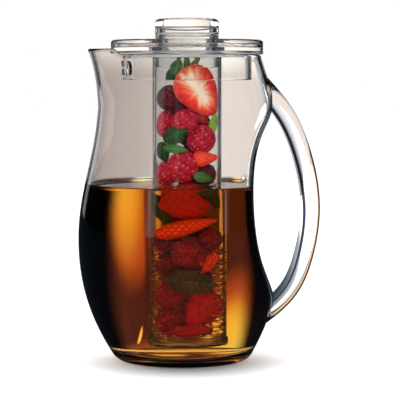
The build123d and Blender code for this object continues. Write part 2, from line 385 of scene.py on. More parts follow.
def ray_kinds(tree: bpy.types.NodeTree) -> tuple[bpy.types.NodeSocket, bpy.types.NodeSocket]:
    """Tells what light has met on its way: a matt surface, or a mirroring one and nothing matt.

    Args:
        tree: the node tree.

    Returns:
        Two sockets of 0 or 1, the matt one first.
    """
    path = add_node(tree, "ShaderNodeLightPath")
    matt, gloss = (
        add_node(tree, "ShaderNodeMath", {"operation": "GREATER_THAN", 1: 0.5}, in0=path.outputs[key])
        for key in ("Diffuse Depth", "Glossy Depth"))
    only = add_node(tree, "ShaderNodeMath", {"operation": "SUBTRACT", "use_clamp": True},
                    in0=gloss.outputs[0], in1=matt.outputs[0])
    return matt.outputs[0], only.outputs[0]


def place_piece(piece: bpy.types.Object, material: bpy.types.Material, body: str, node: str) -> None:
    """Dresses a piece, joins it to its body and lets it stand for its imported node.

    Args:
        piece: the piece.
        material: its finish.
        body: the body that it moves with.
        node: the node that it replaces.
    """
    dress(piece, material)
    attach(piece, body)
    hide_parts(node)
    log.info("%s stands for %s on %s: %d points", piece.name, node, body, len(piece.data.vertices))


def place_prop(prop: bpy.types.Object, body: str) -> None:
    """Joins something that the jug holds, and that isn't part of it, to a body.

    Args:
        prop: the prop.
        body: the body that it moves with.
    """
    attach(prop, body)


# Sizes shared by several sub-assemblies, as in the model that the frame was packed from.


@dataclass(frozen=True)
class Heights:
    """Levels along the axis: the jug's rim and the tea in it."""

    rim: float = 238.5
    liquid: float = 136.5


@dataclass(frozen=True)
class Radii:
    """Radii that others are fitted to: the lid's edge and the fruit tube's outside."""

    lid: float = 59.3
    tube: float = 27.0


HEIGHTS = Heights()
RADII = Radii()


@dataclass(frozen=True)
class BodyShape:
    """Outline of the jug: a round that shifts along X, a pulled spout and a scoop."""

    base_radius: float = 51.5
    base_shift: float = -3.5
    belly_z: float = 95.0
    belly_radius: float = 79.5
    belly_shift: float = -5.5
    belly_power: float = 2.2
    shoulder_drop: float = 41.5
    shoulder_radius: float = 68.6
    neck_drop: float = 35.5
    neck_softness: float = 5.0
    mouth_radius: float = 57.2
    wall: float = 3.2
    floor: float = 5.5
    base_edge: float = 5.0
    floor_corner: float = 8.0
    lip_rise: float = 4.5
    lip_reach: float = 77.5
    spout_depth: float = 42.5
    spout_growth: float = 1.5
    spout_half_angle: float = radians(24)
    scoop_foot: float = 38.0
    scoop_drop: float = 26.0
    scoop_blend: float = 4.0
    scoop_wall: float = 1.05
    scoop_facing: float = 0.05
    out_of_reach: float = 1e3
    scoop_side: tuple[tuple[float, float], ...] = (
        (75.0, 1.0), (67.6, 0.905), (57.7, 0.794), (51.6, 0.653),
        (50.9, 0.499), (55.0, 0.298), (65.2, 0.117), (74.0, 0.0),
    )

    def bend(self, z: Array) -> Array:
        """Logarithm of one plus e to the height over the neck, in neck softnesses."""
        return np.logaddexp(0, (z - HEIGHTS.rim + self.neck_drop) / self.neck_softness)

    def radius(self, z: Array) -> Array:
        """Radius of the round at a height.

        Below the belly it rises as one minus a power of the distance left to the belly. Above,
        half a cosine wave eases it in to the shoulder, and the neck's bend draws it to the mouth.

        Args:
            z: heights.

        Returns:
            One radius for each height.
        """
        left = np.clip(1 - z / self.belly_z, 0, None)
        low = self.base_radius + (self.belly_radius - self.base_radius) * (1 - left**self.belly_power)
        shoulder = HEIGHTS.rim - self.shoulder_drop
        share = np.clip((z - self.belly_z) / (shoulder - self.belly_z), 0, 1)
        ease = (1 + np.cos(pi * share)) / 2
        high = self.shoulder_radius + (self.belly_radius - self.shoulder_radius) * ease
        neck = self.bend(z) / self.bend(np.array(HEIGHTS.rim))
        high = high - (self.shoulder_radius - self.mouth_radius) * neck
        return np.where(z < self.belly_z, low, high)

    def shift(self, z: Array) -> Array:
        """Where the centre of the round lies along X: eased as the radius is, in to 0 at the rim.

        Args:
            z: heights.

        Returns:
            One X for each height.
        """
        left = np.clip(1 - z / self.belly_z, 0, None)
        low = self.base_shift + (self.belly_shift - self.base_shift) * (1 - left**self.belly_power)
        share = np.clip((z - self.belly_z) / (HEIGHTS.rim - self.belly_z), 0, 1)
        return np.where(z < self.belly_z, low, self.belly_shift * (1 + np.cos(pi * share)) / 2)

    def pull(self, z: Array, angle: Array) -> Array:
        """How far the spout stands out: a power of the height, times a bell round -X.

        Args:
            z: heights.
            angle: angles from +X.

        Returns:
            One distance for each point.
        """
        lip = HEIGHTS.rim + self.lip_rise
        root = HEIGHTS.rim - self.spout_depth
        share = np.clip((z - root) / (lip - root), 0, None)
        most = self.lip_reach - self.radius(np.array(lip))
        bell = np.exp(-(((angle - pi) / self.spout_half_angle) ** 2))
        return most * share**self.spout_growth * bell

    def scoop_x(self, z: Array) -> Array:
        """X of the scoop's surface: a spline through the points of its side outline.

        Args:
            z: heights.

        Returns:
            One X for each height.
        """
        side = np.array(self.scoop_side)[::-1]
        top = HEIGHTS.rim - self.scoop_drop
        heights = self.scoop_foot + (top - self.scoop_foot) * side[:, 1]
        return natural_spline(heights, side[:, 0], z).reshape(np.shape(z))

    def reach(self, z: Array, angle: Array, inset: float | Array) -> Array:
        """Distance from the round's centre to the wall, drawn in by an inset.

        It is the lesser of the round with its spout and the way to the scoop's surface, with a
        soft edge where they meet. The scoop's surface slopes, so along X its wall is a little
        thicker, and it counts only where the angle faces it.

        Args:
            z: heights.
            angle: angles from +X.
            inset: how far inside the outer surface, in all or for each point.

        Returns:
            One distance for each point.
        """
        round_part = self.radius(z) - inset + self.pull(z, angle)
        facing = np.cos(angle)
        flat = self.scoop_x(z) - np.asarray(inset) * self.scoop_wall - self.shift(z)
        scoop = np.where(facing > self.scoop_facing, flat / np.maximum(facing, self.scoop_facing),
                         self.out_of_reach)
        return smooth_least(round_part, scoop, self.scoop_blend)

    def points(self, z: Array, angle: Array, inset: float | Array) -> Array:
        """Points of the wall as (centre + reach cos a, reach sin a, z).

        Args:
            z: heights.
            angle: angles from +X.
            inset: how far inside the outer surface, in all or for each point.

        Returns:
            X, Y and Z for each point.
        """
        far = self.reach(z, angle, inset)
        return np.stack([self.shift(z) + far * np.cos(angle), far * np.sin(angle), z + 0 * angle], -1)


BODY = BodyShape()


# Finishes.


@dataclass(frozen=True)
class ClearAcrylic:
    """Polished PMMA: clear, hard and glossy, with a faint cool cast.

    The eye gets thin dark and bright lines where a wall turns away, and next to nothing else.
    """

    name: str
    tint: str = "fbfdfd"
    roughness: float = 0.0
    index: float = 1.49

    def build(self) -> bpy.types.Material:
        """Makes the material: one clear dielectric, which bends light by its index.

        Returns:
            The material.
        """
        material, tree, output = new_material(self.name)
        shader = add_node(tree, "ShaderNodeBsdfPrincipled", {
            "Base Color": linear(self.tint),
            "Roughness": self.roughness,
            "IOR": self.index,
            "Transmission Weight": 1.0,
        })
        tree.links.new(shader.outputs[0], output.inputs["Surface"])
        return material


@dataclass(frozen=True)
class Silicone:
    """Moulded food-grade silicone: milky and satin, so that it only greys the line it fills."""

    name: str = "moulded_silicone"
    tint: str = "e4e7e6"
    roughness: float = 0.35
    index: float = 1.41
    clearness: float = 0.75

    def build(self) -> bpy.types.Material:
        """Makes the material: a satin surface that lets most of the light through, scattered.

        Returns:
            The material.
        """
        material, tree, output = new_material(self.name)
        shader = add_node(tree, "ShaderNodeBsdfPrincipled", {
            "Base Color": linear(self.tint),
            "Roughness": self.roughness,
            "IOR": self.index,
            "Transmission Weight": self.clearness,
        })
        tree.links.new(shader.outputs[0], output.inputs["Surface"])
        return material


@dataclass(frozen=True)
class BrewedTea:
    """Strong clear tea: amber where light comes through it, black where it turns away.

    The black edge is painted shade: the edge of the drink goes dark between two shares of
    facing, and a little earlier down at the foot. The rounded corner at the floor and the top
    surface stay clear of that.
    """

    name: str = "brewed_tea"
    index: float = 1.12
    gloss_index: float = 1.2
    amber: str = "fcd936"
    strength: float = 27.0
    # Colour of the painted shade at the drink's edge.
    edge: str = "1d1614"
    edge_start: float = 0.086
    edge_end: float = 0.152
    foot_lean: float = 0.1
    foot_power: float = 1.6
    corner_top: float = 14.0
    surface: tuple[float, float] = (-1.0, -0.4)

    def painted_edge_shade(self, tree: bpy.types.NodeTree) -> bpy.types.NodeSocket:
        """Works out the light let through: white, or nearly black as painted shade at the edge.

        Args:
            tree: the node tree.

        Returns:
            The socket with the colour.
        """
        facing = add_node(tree, "ShaderNodeLayerWeight", {"Blend": 0.5})
        place = add_node(tree, "ShaderNodeTexCoord")
        height = add_node(tree, "ShaderNodeSeparateXYZ", Vector=place.outputs["Object"])
        under, corner, surface = (
            add_node(tree, "ShaderNodeMapRange", {"From Min": low * MM, "From Max": high * MM},
                     Value=height.outputs["Z"]).outputs["Result"]
            for low, high in ((BODY.belly_z, 0.0), (self.corner_top, BODY.floor),
                              (HEIGHTS.liquid + self.surface[0], HEIGHTS.liquid + self.surface[1])))
        lean = add_node(tree, "ShaderNodeMath", {"operation": "POWER", 1: self.foot_power}, in0=under)
        turned = add_node(tree, "ShaderNodeMath", {"operation": "MULTIPLY_ADD", 1: -self.foot_lean},
                          in0=lean.outputs[0], in2=facing.outputs["Facing"])
        clear = add_node(tree, "ShaderNodeMath", {"operation": "MAXIMUM"}, in0=corner, in1=surface)
        kept = add_node(tree, "ShaderNodeMath", {"operation": "SUBTRACT"},
                        in0=turned.outputs[0], in1=clear.outputs[0])
        # Painted shade: the edge goes dark by how far the surface turns away.
        ramp = add_node(tree, "ShaderNodeValToRGB", Fac=kept.outputs[0])
        ramp.color_ramp.interpolation = "EASE"
        set_ramp(ramp.color_ramp, ((self.edge_start, "ffffff"), (self.edge_end, self.edge)))
        light = add_node(tree, "ShaderNodeMix", {"data_type": "RGBA", 7: linear("ffffff")},
                         in0=ray_kinds(tree)[0], in6=ramp.outputs["Color"])
        return light.outputs[2]

    def build(self) -> bpy.types.Material:
        """Makes the material: a weak lens with a coloured volume and edges painted dark as shade.

        Returns:
            The material.
        """
        material, tree, output = new_material(self.name)
        lens = add_node(tree, "ShaderNodeBsdfRefraction", {"Roughness": 0.0, "IOR": self.index},
                        Color=self.painted_edge_shade(tree))
        gloss = add_node(tree, "ShaderNodeBsdfGlossy", {"Roughness": 0.0})
        fresnel = add_node(tree, "ShaderNodeFresnel", {"IOR": self.gloss_index})
        mixed = add_node(tree, "ShaderNodeMixShader", Fac=fresnel.outputs[0],
                         in1=lens.outputs[0], in2=gloss.outputs[0])
        volume = add_node(tree, "ShaderNodeVolumeAbsorption", {
            "Color": linear(self.amber), "Density": self.strength})
        tree.links.new(mixed.outputs[0], output.inputs["Surface"])
        tree.links.new(volume.outputs[0], output.inputs["Volume"])
        return material


# Sub-assemblies.


@dataclass
class JugBody:
    """Hollow jug with a rounded rim, a thick floor and a foot that is a little hollow below."""

    shape: BodyShape = BODY
    columns: int = 288
    wall_rows: int = 132
    corner_rows: int = 7
    rim_rows: int = 8
    foot_hollow: float = 0.9
    foot_ring: float = 44.0
    foot_slope: float = 2.0
    rings: tuple[float, ...] = (0.25, 0.5, 0.72, 0.82, 0.86, 0.9)
    lip_slope: tuple[float, float] = (0.4, 5.0)
    lip_level: float = 1.0

    def lift(self, z: Array, angle: Array) -> Array:
        """Raises the wall's top row by row, so that the rim steps up outside the lid's edge.

        Args:
            z: heights of the rows on a level rim.
            angle: angles from +X.

        Returns:
            The heights with the lip's rise.
        """
        reach = self.shape.mouth_radius + self.shape.pull(np.full_like(angle, HEIGHTS.rim), angle)
        start, end = (RADII.lid + away for away in self.lip_slope)
        rise = self.shape.lip_rise * smooth_step(reach, start, end)
        root = HEIGHTS.rim - self.shape.spout_depth
        return z + rise * smooth_step(z, root, HEIGHTS.rim - self.lip_level)

    def rows(self) -> tuple[Array, Array]:
        """Works out the closed side outline, from the base up, over the rim and down inside.

        Its corners and its rim are quarter and half circles.

        Returns:
            The height of each row and how far it lies inside the outer surface.
        """
        s = self.shape
        turn = np.linspace(0, pi / 2, self.corner_rows)
        half = s.wall / 2
        over = np.linspace(0, pi, self.rim_rows)
        top = HEIGHTS.rim - half
        outer = np.linspace(s.base_edge, top, self.wall_rows)[1:-1]
        inner = np.linspace(top, s.floor + s.floor_corner, self.wall_rows)[1:-1]
        z = np.concatenate([s.base_edge * (1 - np.cos(turn)), outer, top + half * np.sin(over), inner,
                            s.floor + s.floor_corner * (1 - np.cos(turn[::-1]))])
        inset = np.concatenate([s.base_edge * (1 - np.sin(turn)), 0 * outer, half * (1 - np.cos(over)),
                                s.wall + 0 * inner, s.wall + s.floor_corner * (1 - np.sin(turn[::-1]))])
        return z, inset

    def build(self) -> bpy.types.Object:
        """Makes the jug's mesh: the outline's rows carried round, closed by two poles.

        Returns:
            The jug as one closed shell.
        """
        z, inset = self.rows()
        angle = tau * np.arange(self.columns)[None, :] / self.columns
        height = self.lift(z[:, None] + 0 * angle, angle + 0 * z[:, None])
        wall = self.shape.points(height, angle, inset[:, None])
        centre = np.array([self.shape.base_shift, 0, 0])
        shares = np.array(self.rings)[:, None, None]
        under = centre + (wall[:1] - centre) * shares
        far = np.hypot(under[..., 0] - centre[0], under[..., 1])
        level = smooth_step(far, self.foot_ring - self.foot_slope, self.foot_ring)
        under[..., 2] = self.foot_hollow * (1 - level)
        above = centre + (wall[-1:] - centre) * shares[::-1]
        above[..., 2] = self.shape.floor
        grid = np.concatenate([under, wall, above])
        poles = [[centre[0], 0, self.foot_hollow], [centre[0], 0, self.shape.floor]]
        points = np.vstack([grid.reshape(-1, 3), poles])
        return make_piece("jug_body_shell", points, *capped_faces(len(grid), self.columns))


@dataclass
class Handle:
    """Solid bow of rounded rectangular section, bonded to the shoulder and the lower belly."""

    foot_z: float = 31.5
    drop: float = 19.0
    line: tuple[tuple[float, float], ...] = (
        (53.5, 1.0), (61.0, 0.957), (76.1, 0.854), (89.2, 0.694), (96.3, 0.473),
        (91.8, 0.282), (80.5, 0.133), (60.5, 0.027), (53.5, 0.0),
    )
    thickness: float = 15.2
    width: float = 21.0
    squareness: float = 2.6
    depth: float = 1.4
    rows: int = 150
    around: int = 72
    samples: int = 900

    def section(self) -> Array:
        """Works out the closed outline across the bar.

        It is half the width and half the thickness times a power of the cosine and the sine.

        Returns:
            One row of two offsets for each point.
        """
        turn = tau * np.arange(self.around) / self.around
        wave = np.stack([np.cos(turn), np.sin(turn)], -1)
        return np.sign(wave) * np.abs(wave) ** (2 / self.squareness) * [self.width / 2, self.thickness / 2]

    def build(self) -> bpy.types.Object:
        """Sweeps the section along the centre line and ends it just inside the wall.

        Each point of the section runs along a line parallel to the centre line. The part of it
        that lies outside the jug is found by comparing its distance from the round's centre
        with the wall's reach, and the rows are spread evenly over that part.

        Returns:
            The bar as one closed shell.
        """
        side = np.array(self.line)
        top = HEIGHTS.rim - self.drop
        knots = np.stack([side[:, 0], self.foot_z + (top - self.foot_z) * side[:, 1]], -1)
        along = np.concatenate([[0], np.cumsum(np.hypot(*np.diff(knots, axis=0).T))])
        t = np.linspace(0, along[-1], self.samples)
        line = natural_spline(along, knots, t)
        tangent = np.gradient(line, axis=0)
        tangent /= np.hypot(tangent[:, 0], tangent[:, 1])[:, None]
        normal = np.stack([-tangent[:, 1], tangent[:, 0]], -1)
        section = self.section()
        x = line[:, None, 0] + normal[:, None, 0] * section[None, :, 1]
        z = line[:, None, 1] + normal[:, None, 1] * section[None, :, 1]
        y = 0 * x + section[None, :, 0]
        shift = BODY.shift(z)
        angle = np.arctan2(y, x - shift) % tau
        inside = BODY.reach(z, angle, self.depth) - np.hypot(x - shift, y)
        outside = inside < 0
        first = np.argmax(outside, axis=0)
        last = len(t) - 1 - np.argmax(outside[::-1], axis=0)
        share = np.linspace(0, 1, self.rows)[:, None]
        place = first[None, :] + (last - first)[None, :] * share
        low = np.floor(place).astype(int)
        high = np.minimum(low + 1, len(t) - 1)
        part = place - low
        column = np.arange(section.shape[0])[None, :]
        grid = np.stack([values[low, column] * (1 - part) + values[high, column] * part
                         for values in (x, y, z)], -1)
        points = np.vstack([grid.reshape(-1, 3), grid[0].mean(0), grid[-1].mean(0)])
        return make_piece("handle_bow", points, *capped_faces(self.rows, self.around))


@dataclass(frozen=True)
class SlotCell:
    """One stadium hole and the rectangle of wall round it, in angle and height."""

    middle: float
    half_angle: float
    low: float
    high: float
    centre: float
    width: float
    height: float
    across: int = 24
    up: int = 6
    rings: int = 3
    crowding: float = 1.3

    def flat(self, radius: float) -> tuple[Array, Array]:
        """Mesh of the rectangle less the hole, unrolled on a cylinder.

        The rectangle's edge is walked anticlockwise at even spacing. The hole's edge has as
        many points, each at the same share of the way round between its own four corners, and
        each ring between them is a mix of the two edges.

        Args:
            radius: radius at which the hole has its width.

        Returns:
            Rows of angle and height, and quads.
        """
        a0, a1 = self.middle - self.half_angle, self.middle + self.half_angle
        x = np.linspace(a0, a1, self.across + 1)
        z = np.linspace(self.low, self.high, self.up + 1)
        edge = np.concatenate([
            np.stack([x[:-1], 0 * x[:-1] + self.low], -1), np.stack([0 * z[:-1] + a1, z[:-1]], -1),
            np.stack([x[:0:-1], 0 * x[1:] + self.high], -1), np.stack([0 * z[1:] + a0, z[:0:-1]], -1)])
        end = min(self.width, self.height) / 2
        flat_x, flat_z = self.width / 2 - end, self.height / 2 - end
        side = np.linspace(-1, 1, self.across + 1)[:-1] * pi / 4
        upright = np.linspace(-1, 1, self.up + 1)[:-1] * pi / 4
        turn = np.concatenate([side - pi / 2, upright, side + pi / 2, upright + pi])
        level, plumb = 0 * side + pi / 4, 0 * upright + pi / 4
        spread_x = np.clip(np.tan(np.concatenate([side, plumb, -side, -plumb])), -1, 1)
        spread_z = np.clip(np.tan(np.concatenate([-level, upright, level, -upright])), -1, 1)
        if flat_x >= flat_z:
            body = np.stack([flat_x * spread_x, 0 * spread_x], -1)
        else:
            body = np.stack([0 * spread_z, flat_z * spread_z], -1)
        hole = body + end * np.stack([np.cos(turn), np.sin(turn)], -1)
        hole = np.stack([self.middle + hole[:, 0] / radius, self.centre + hole[:, 1]], -1)
        share = np.linspace(0, 1, self.rings + 1)[:, None, None] ** self.crowding
        grid = edge + (hole - edge) * share
        return grid.reshape(-1, 2), grid_faces(self.rings + 1, len(edge))


@dataclass
class SlottedWall:
    """Round wall with stadium holes through it, open at its upper and lower edge.

    Flat edges within the slack of its lowest or highest level belong to those two edges.
    """

    outer: float
    inner: float
    cells: Sequence[SlotCell]
    plain: Sequence[tuple[Array, Array]] = ()
    slack: float = 1e-3

    def parts(self) -> list[tuple[Array, Array]]:
        """Wraps the flat mesh round both radii and joins them through the holes.

        A point (a, z) goes to (r cos a, r sin a, z) at each radius. Edges used by one face only,
        other than those at the lowest and highest level, are the edges of holes, and each gets
        a quad from one wall to the other.

        Returns:
            Pairs of points and quads, ready to weld.
        """
        flats = [cell.flat(self.outer) for cell in self.cells]
        for angles, heights in self.plain:
            a, z = np.meshgrid(angles, heights)
            quads = grid_faces(len(heights), len(angles), around=False)
            flats.append((np.stack([a.ravel(), z.ravel()], -1), quads))
        full = round(tau, ANGLE_DIGITS)
        rounded = [np.round(flat[:, 0] % tau, ANGLE_DIGITS) % full for flat, _ in flats]
        points, faces = weld([(np.stack([angle, flat[:, 1], 0 * angle], -1), quads)
                              for angle, (flat, quads) in zip(rounded, flats)])
        sides = np.concatenate([np.stack([faces[:, i], faces[:, (i + 1) % 4]], -1) for i in range(4)])
        _, place, count = np.unique(np.sort(sides, axis=1), axis=0, return_inverse=True, return_counts=True)
        lone = sides[count[place.reshape(-1)] == 1]
        level = points[lone, 1]
        low, high = points[:, 1].min() + self.slack, points[:, 1].max() - self.slack
        rim = (np.ptp(level, axis=1) < self.slack) & ((level[:, 0] < low) | (level[:, 0] > high))
        lone = lone[~rim]
        around = np.stack([np.cos(points[:, 0]), np.sin(points[:, 0])], -1)
        walls = [np.column_stack([around * r, points[:, 1]]) for r in (self.outer, self.inner)]
        count = len(points)
        through = np.stack([lone[:, 1], lone[:, 0], lone[:, 0] + count, lone[:, 1] + count], -1)
        return [(np.vstack(walls), np.vstack([faces, faces[:, ::-1] + count, through]))]


@dataclass
class Lid:
    """Pour guard and cover, two mouldings that lie face to face with a hair of air between."""

    radius: float = RADII.lid
    neck_bore: float = 22.22
    neck_radius: float = 24.52
    neck_bottom: float = 228.0
    guard_bottom: float = 238.55
    guard_top: float = 244.0
    plate_bottom: float = 241.4
    skirt_radius: float = 50.3
    skirt_bore: float = 47.7
    skirt_bottom: float = 218.5
    groove: tuple[float, float, float] = (49.7, 235.6, 238.3)
    slot_middle: float = 227.45
    slot_width: float = 9.0
    slot_height: float = 11.0
    slot_angle: float = radians(16)
    slots: int = 3
    band: float = 6.6
    across: int = 10
    up: int = 14
    rings: int = 4
    cover_top: float = 250.0
    cover_plate: float = 3.0
    rim_width: float = 4.0
    boss_radius: float = 24.72
    boss_top: float = 254.1
    air: float = 0.03

    def guard(self) -> bpy.types.Object:
        """Makes the pour guard: the slotted skirt welded to the strips above and below it.

        Returns:
            The pour guard as one closed shell.
        """
        low, high = self.slot_middle - self.band, self.slot_middle + self.band
        middles = [pi + (i - (self.slots - 1) / 2) * self.slot_angle for i in range(self.slots)]
        cells = [SlotCell(middle, self.slot_angle / 2, low, high, self.slot_middle, self.slot_width,
                          self.slot_height, self.across, self.up, self.rings) for middle in middles]
        step = self.slot_angle / self.across
        around = round(tau / step)
        first = middles[-1] + self.slot_angle / 2
        rest = first + step * np.arange(around - self.slots * self.across + 1)
        plain = [(rest, np.linspace(low, high, self.up + 1))]
        wall = SlottedWall(self.skirt_radius, self.skirt_bore, cells, plain)
        angles = np.round((first + step * np.arange(around)) % tau, ANGLE_DIGITS)
        inner, bottom, top = self.groove
        upper = rounded_outline([
            (self.skirt_radius, high, 0), (self.skirt_radius, bottom, 0.15), (inner, bottom, 0.15),
            (inner, top, 0.1), (self.skirt_radius, top, 0.1), (self.skirt_radius, self.guard_bottom, 0.1),
            (self.radius, self.guard_bottom, 1.2), (self.radius, self.guard_top - self.air, 0.5),
            (self.neck_bore, self.guard_top - self.air, 0.4), (self.neck_bore, self.neck_bottom, 0.6),
            (self.neck_radius, self.neck_bottom, 0.6), (self.neck_radius, self.plate_bottom, 0.8),
            (self.skirt_bore, self.plate_bottom, 1.2), (self.skirt_bore, high, 0)])
        lower = rounded_outline([
            (self.skirt_bore, low, 0), (self.skirt_bore, self.skirt_bottom, 0.7),
            (self.skirt_radius, self.skirt_bottom, 0.7), (self.skirt_radius, low, 0)])
        points, faces = weld(wall.parts() + [strip(upper, angles), strip(lower, angles)])
        return make_piece("pour_guard_moulding", points, faces)

    def cover(self) -> bpy.types.Object:
        """Makes the cover: a rounded disc, hollow below, with the boss for the knob.

        Returns:
            The cover as one closed shell.
        """
        plate = self.cover_top - self.cover_plate
        bottom = self.guard_top + self.air
        return lathe("lid_cover_moulding", rounded_outline([
            (self.neck_bore, bottom, 0.3), (self.boss_radius, bottom, 0.3), (self.boss_radius, plate, 0.9),
            (self.radius - self.rim_width, plate, 1.2), (self.radius - self.rim_width, bottom, 0.3),
            (self.radius, bottom, 0.5), (self.radius, self.cover_top, 2.8),
            (self.boss_radius, self.cover_top, 0.9), (self.boss_radius, self.boss_top, 0.8),
            (self.neck_bore, self.boss_top, 0.5)]))


@dataclass
class Knob:
    """Hollow knob: rounded edge, slightly crowned top with a bowl in it, and a screw stem."""

    radius: float = 24.77
    bottom: float = 254.15
    shoulder: float = 266.05
    crown: float = 266.55
    edge: float = 3.6
    roof: float = 2.6
    stem_radius: float = 22.14
    stem_bore: float = 19.94
    stem_bottom: float = 241.1
    recess: tuple[float, float] = (24.24, 255.4)
    dish_radius: float = 17.0
    dish_depth: float = 3.9
    dish_start: float = 0.93
    dish_rows: int = 14

    def build(self) -> bpy.types.Object:
        """Makes the knob. Its bowl is a sphere's cap: centre height less the root of R2 - r2.

        Returns:
            The knob as one closed shell.
        """
        ball = (self.dish_radius**2 + self.dish_depth**2) / (2 * self.dish_depth)
        ceiling = self.crown - self.dish_depth - self.roof
        r = self.dish_radius * np.linspace(self.dish_start, 0, self.dish_rows)
        bowl = self.crown - self.dish_depth + ball - np.sqrt(ball**2 - r**2)
        bore, recess = self.recess
        side = rounded_outline([
            (0, ceiling, 0), (self.stem_bore, ceiling, 1.6), (self.stem_bore, self.stem_bottom, 0.6),
            (self.stem_radius, self.stem_bottom, 0.6), (self.stem_radius, recess, 0.3),
            (bore, recess, 0.15), (bore, self.bottom, 0.15), (self.radius, self.bottom, 0.2),
            (self.radius, self.shoulder, self.edge), (self.dish_radius, self.crown, 0.9),
            (float(r[0]), float(bowl[0]), 0)])
        return lathe("knob_moulding", np.vstack([side, np.stack([r[1:], bowl[1:]], -1)]))


@dataclass
class Infuser:
    """Slotted fruit tube with a spigot at its foot, and the cap that screws over the spigot."""

    radius: float = RADII.tube
    bore: float = 24.6
    bottom: float = 22.05
    top: float = 240.1
    ledge: float = 1.4
    spigot_radius: float = 25.52
    spigot_bore: float = 23.12
    spigot_bottom: float = 18.2
    rows: int = 9
    columns: int = 6
    pitch: float = 7.6
    first: float = 3.6
    slot_height: float = 3.6
    slot_width: float = 18.6
    foot_strip: float = 0.2
    cap_radius: float = 28.0
    cap_bottom: float = 15.5
    cap_top: float = 22.0
    cap_bore: float = 25.6
    cap_floor: float = 1.8
    cap_edge: float = 2.2

    def tube(self) -> bpy.types.Object:
        """Makes the tube: a grid of slot cells welded to its plain upper part and its foot.

        Returns:
            The tube as one closed shell.
        """
        sector = tau / self.columns
        start = self.bottom + self.ledge + self.foot_strip
        cells = []
        for row in range(self.rows):
            middle = self.bottom + self.first + row * self.pitch
            low = start if row == 0 else middle - self.pitch / 2
            cells += [SlotCell(tau / 4 + sector * column, sector / 2, low, middle + self.pitch / 2, middle,
                               self.slot_width, self.slot_height) for column in range(self.columns)]
        high = cells[-1].high
        across = cells[0].across
        angles = np.round(sector * np.arange(self.columns * across) / across, ANGLE_DIGITS)
        wall = SlottedWall(self.radius, self.bore, cells)
        upper = rounded_outline([
            (self.radius, high, 0), (self.radius, self.top, 0.5), (self.bore, self.top, 0.5),
            (self.bore, high, 0)])
        lower = rounded_outline([
            (self.bore, start, 0), (self.bore, self.bottom + self.ledge, 0.1),
            (self.spigot_bore, self.bottom + self.ledge, 0.4), (self.spigot_bore, self.spigot_bottom, 0.4),
            (self.spigot_radius, self.spigot_bottom, 0.4), (self.spigot_radius, self.bottom, 0.3),
            (self.radius, self.bottom, 0.4), (self.radius, start, 0)])
        points, faces = weld(wall.parts() + [strip(upper, angles), strip(lower, angles)])
        return make_piece("infuser_tube_moulding", points, faces)

    def cap(self) -> bpy.types.Object:
        """Makes the base cap: a shallow cup with a rounded lower edge.

        Returns:
            The cap as one closed shell.
        """
        floor = self.cap_bottom + self.cap_floor
        return lathe("infuser_base_cap_moulding", rounded_outline([
            (0, self.cap_bottom, 0), (self.cap_radius, self.cap_bottom, self.cap_edge),
            (self.cap_radius, self.cap_top, 0.5), (self.cap_bore, self.cap_top, 0.5),
            (self.cap_bore, floor, 1.0), (0, floor, 0)]))


@dataclass
class Drink:
    """The tea that fills the jug in the photograph; it isn't part of the object."""

    shape: BodyShape = BODY
    overlap: float = 0.2
    columns: int = 160
    rows: int = 60
    corner_rows: int = 6
    floor_rings: tuple[float, float] = (0.3, 0.65)
    top_rows: int = 60
    crowding: float = 1.3
    creep: float = 1.6
    creep_width: float = 1.5
    tube_creep: float = 0.6

    def build(self) -> bpy.types.Object:
        """Fills the inside up to the liquid's level, with the surface drawn up at the walls.

        The surface's height is the level plus the creep times e to the minus distance over its
        width, once from the jug's wall and once, in a lesser share, from the fruit tube's. Its
        rows crowd towards the wall by a power of their share.

        Returns:
            The liquid as one closed shell.
        """
        s = self.shape
        turn = np.linspace(0, pi / 2, self.corner_rows)
        wall = s.wall - self.overlap
        floor = s.floor - self.overlap
        low_z = floor + s.floor_corner * (1 - np.cos(turn))
        low_inset = wall + s.floor_corner * (1 - np.sin(turn))
        z = np.concatenate([low_z, np.linspace(low_z[-1], HEIGHTS.liquid + self.creep, self.rows)[1:]])
        inset = np.concatenate([low_inset, np.full(self.rows - 1, wall)])
        angle = tau * np.arange(self.columns)[None, :] / self.columns
        side = s.points(z[:, None] + 0 * angle, angle + 0 * z[:, None], inset[:, None])
        rim = side[-1]
        shares = 1 - np.linspace(0, 1, self.top_rows)[1:-1, None, None] ** self.crowding
        top = rim[None] * [1, 1, 0] * shares
        from_wall = np.hypot(*(rim[None, :, :2] - top[..., :2]).transpose(2, 0, 1))
        from_tube = np.abs(np.hypot(top[..., 0], top[..., 1]) - RADII.tube)
        top[..., 2] = HEIGHTS.liquid + self.creep * (
            np.exp(-from_wall / self.creep_width) + self.tube_creep * np.exp(-from_tube / self.creep_width))
        centre = np.array([s.base_shift, 0, floor])
        bottom = centre + (side[:1] - centre) * np.array(self.floor_rings)[:, None, None]
        grid = np.concatenate([bottom, side, top])
        points = np.vstack([grid.reshape(-1, 3), centre, [0, 0, HEIGHTS.liquid]])
        return make_piece("tea", points, *capped_faces(len(grid), self.columns))


# Fruit that the tube holds in the photograph. It isn't part of the object.


def spots(count: int) -> Array:
    """Evenly spread directions: heights in equal steps, turned each time by the golden angle.

    Args:
        count: how many.

    Returns:
        One row of X, Y and Z for each.
    """
    step = np.arange(count) + 0.5
    z = 1 - 2 * step / count
    around = step * pi * (3 - 5**0.5)
    r = np.sqrt(1 - z * z)
    return np.stack([r * np.cos(around), r * np.sin(around), z], -1)


def turned_by(tilt: Triple) -> Array:
    """Rotation matrix from turns about X, then Y, then Z.

    Args:
        tilt: the three turns in degrees.

    Returns:
        Three rows of three.
    """
    (a, b, c), (d, e, f) = np.cos(np.radians(tilt)), np.sin(np.radians(tilt))
    x = np.array([[1, 0, 0], [0, a, -d], [0, d, a]])
    y = np.array([[b, 0, e], [0, 1, 0], [-e, 0, b]])
    z = np.array([[c, -f, 0], [f, c, 0], [0, 0, 1]])
    return z @ y @ x


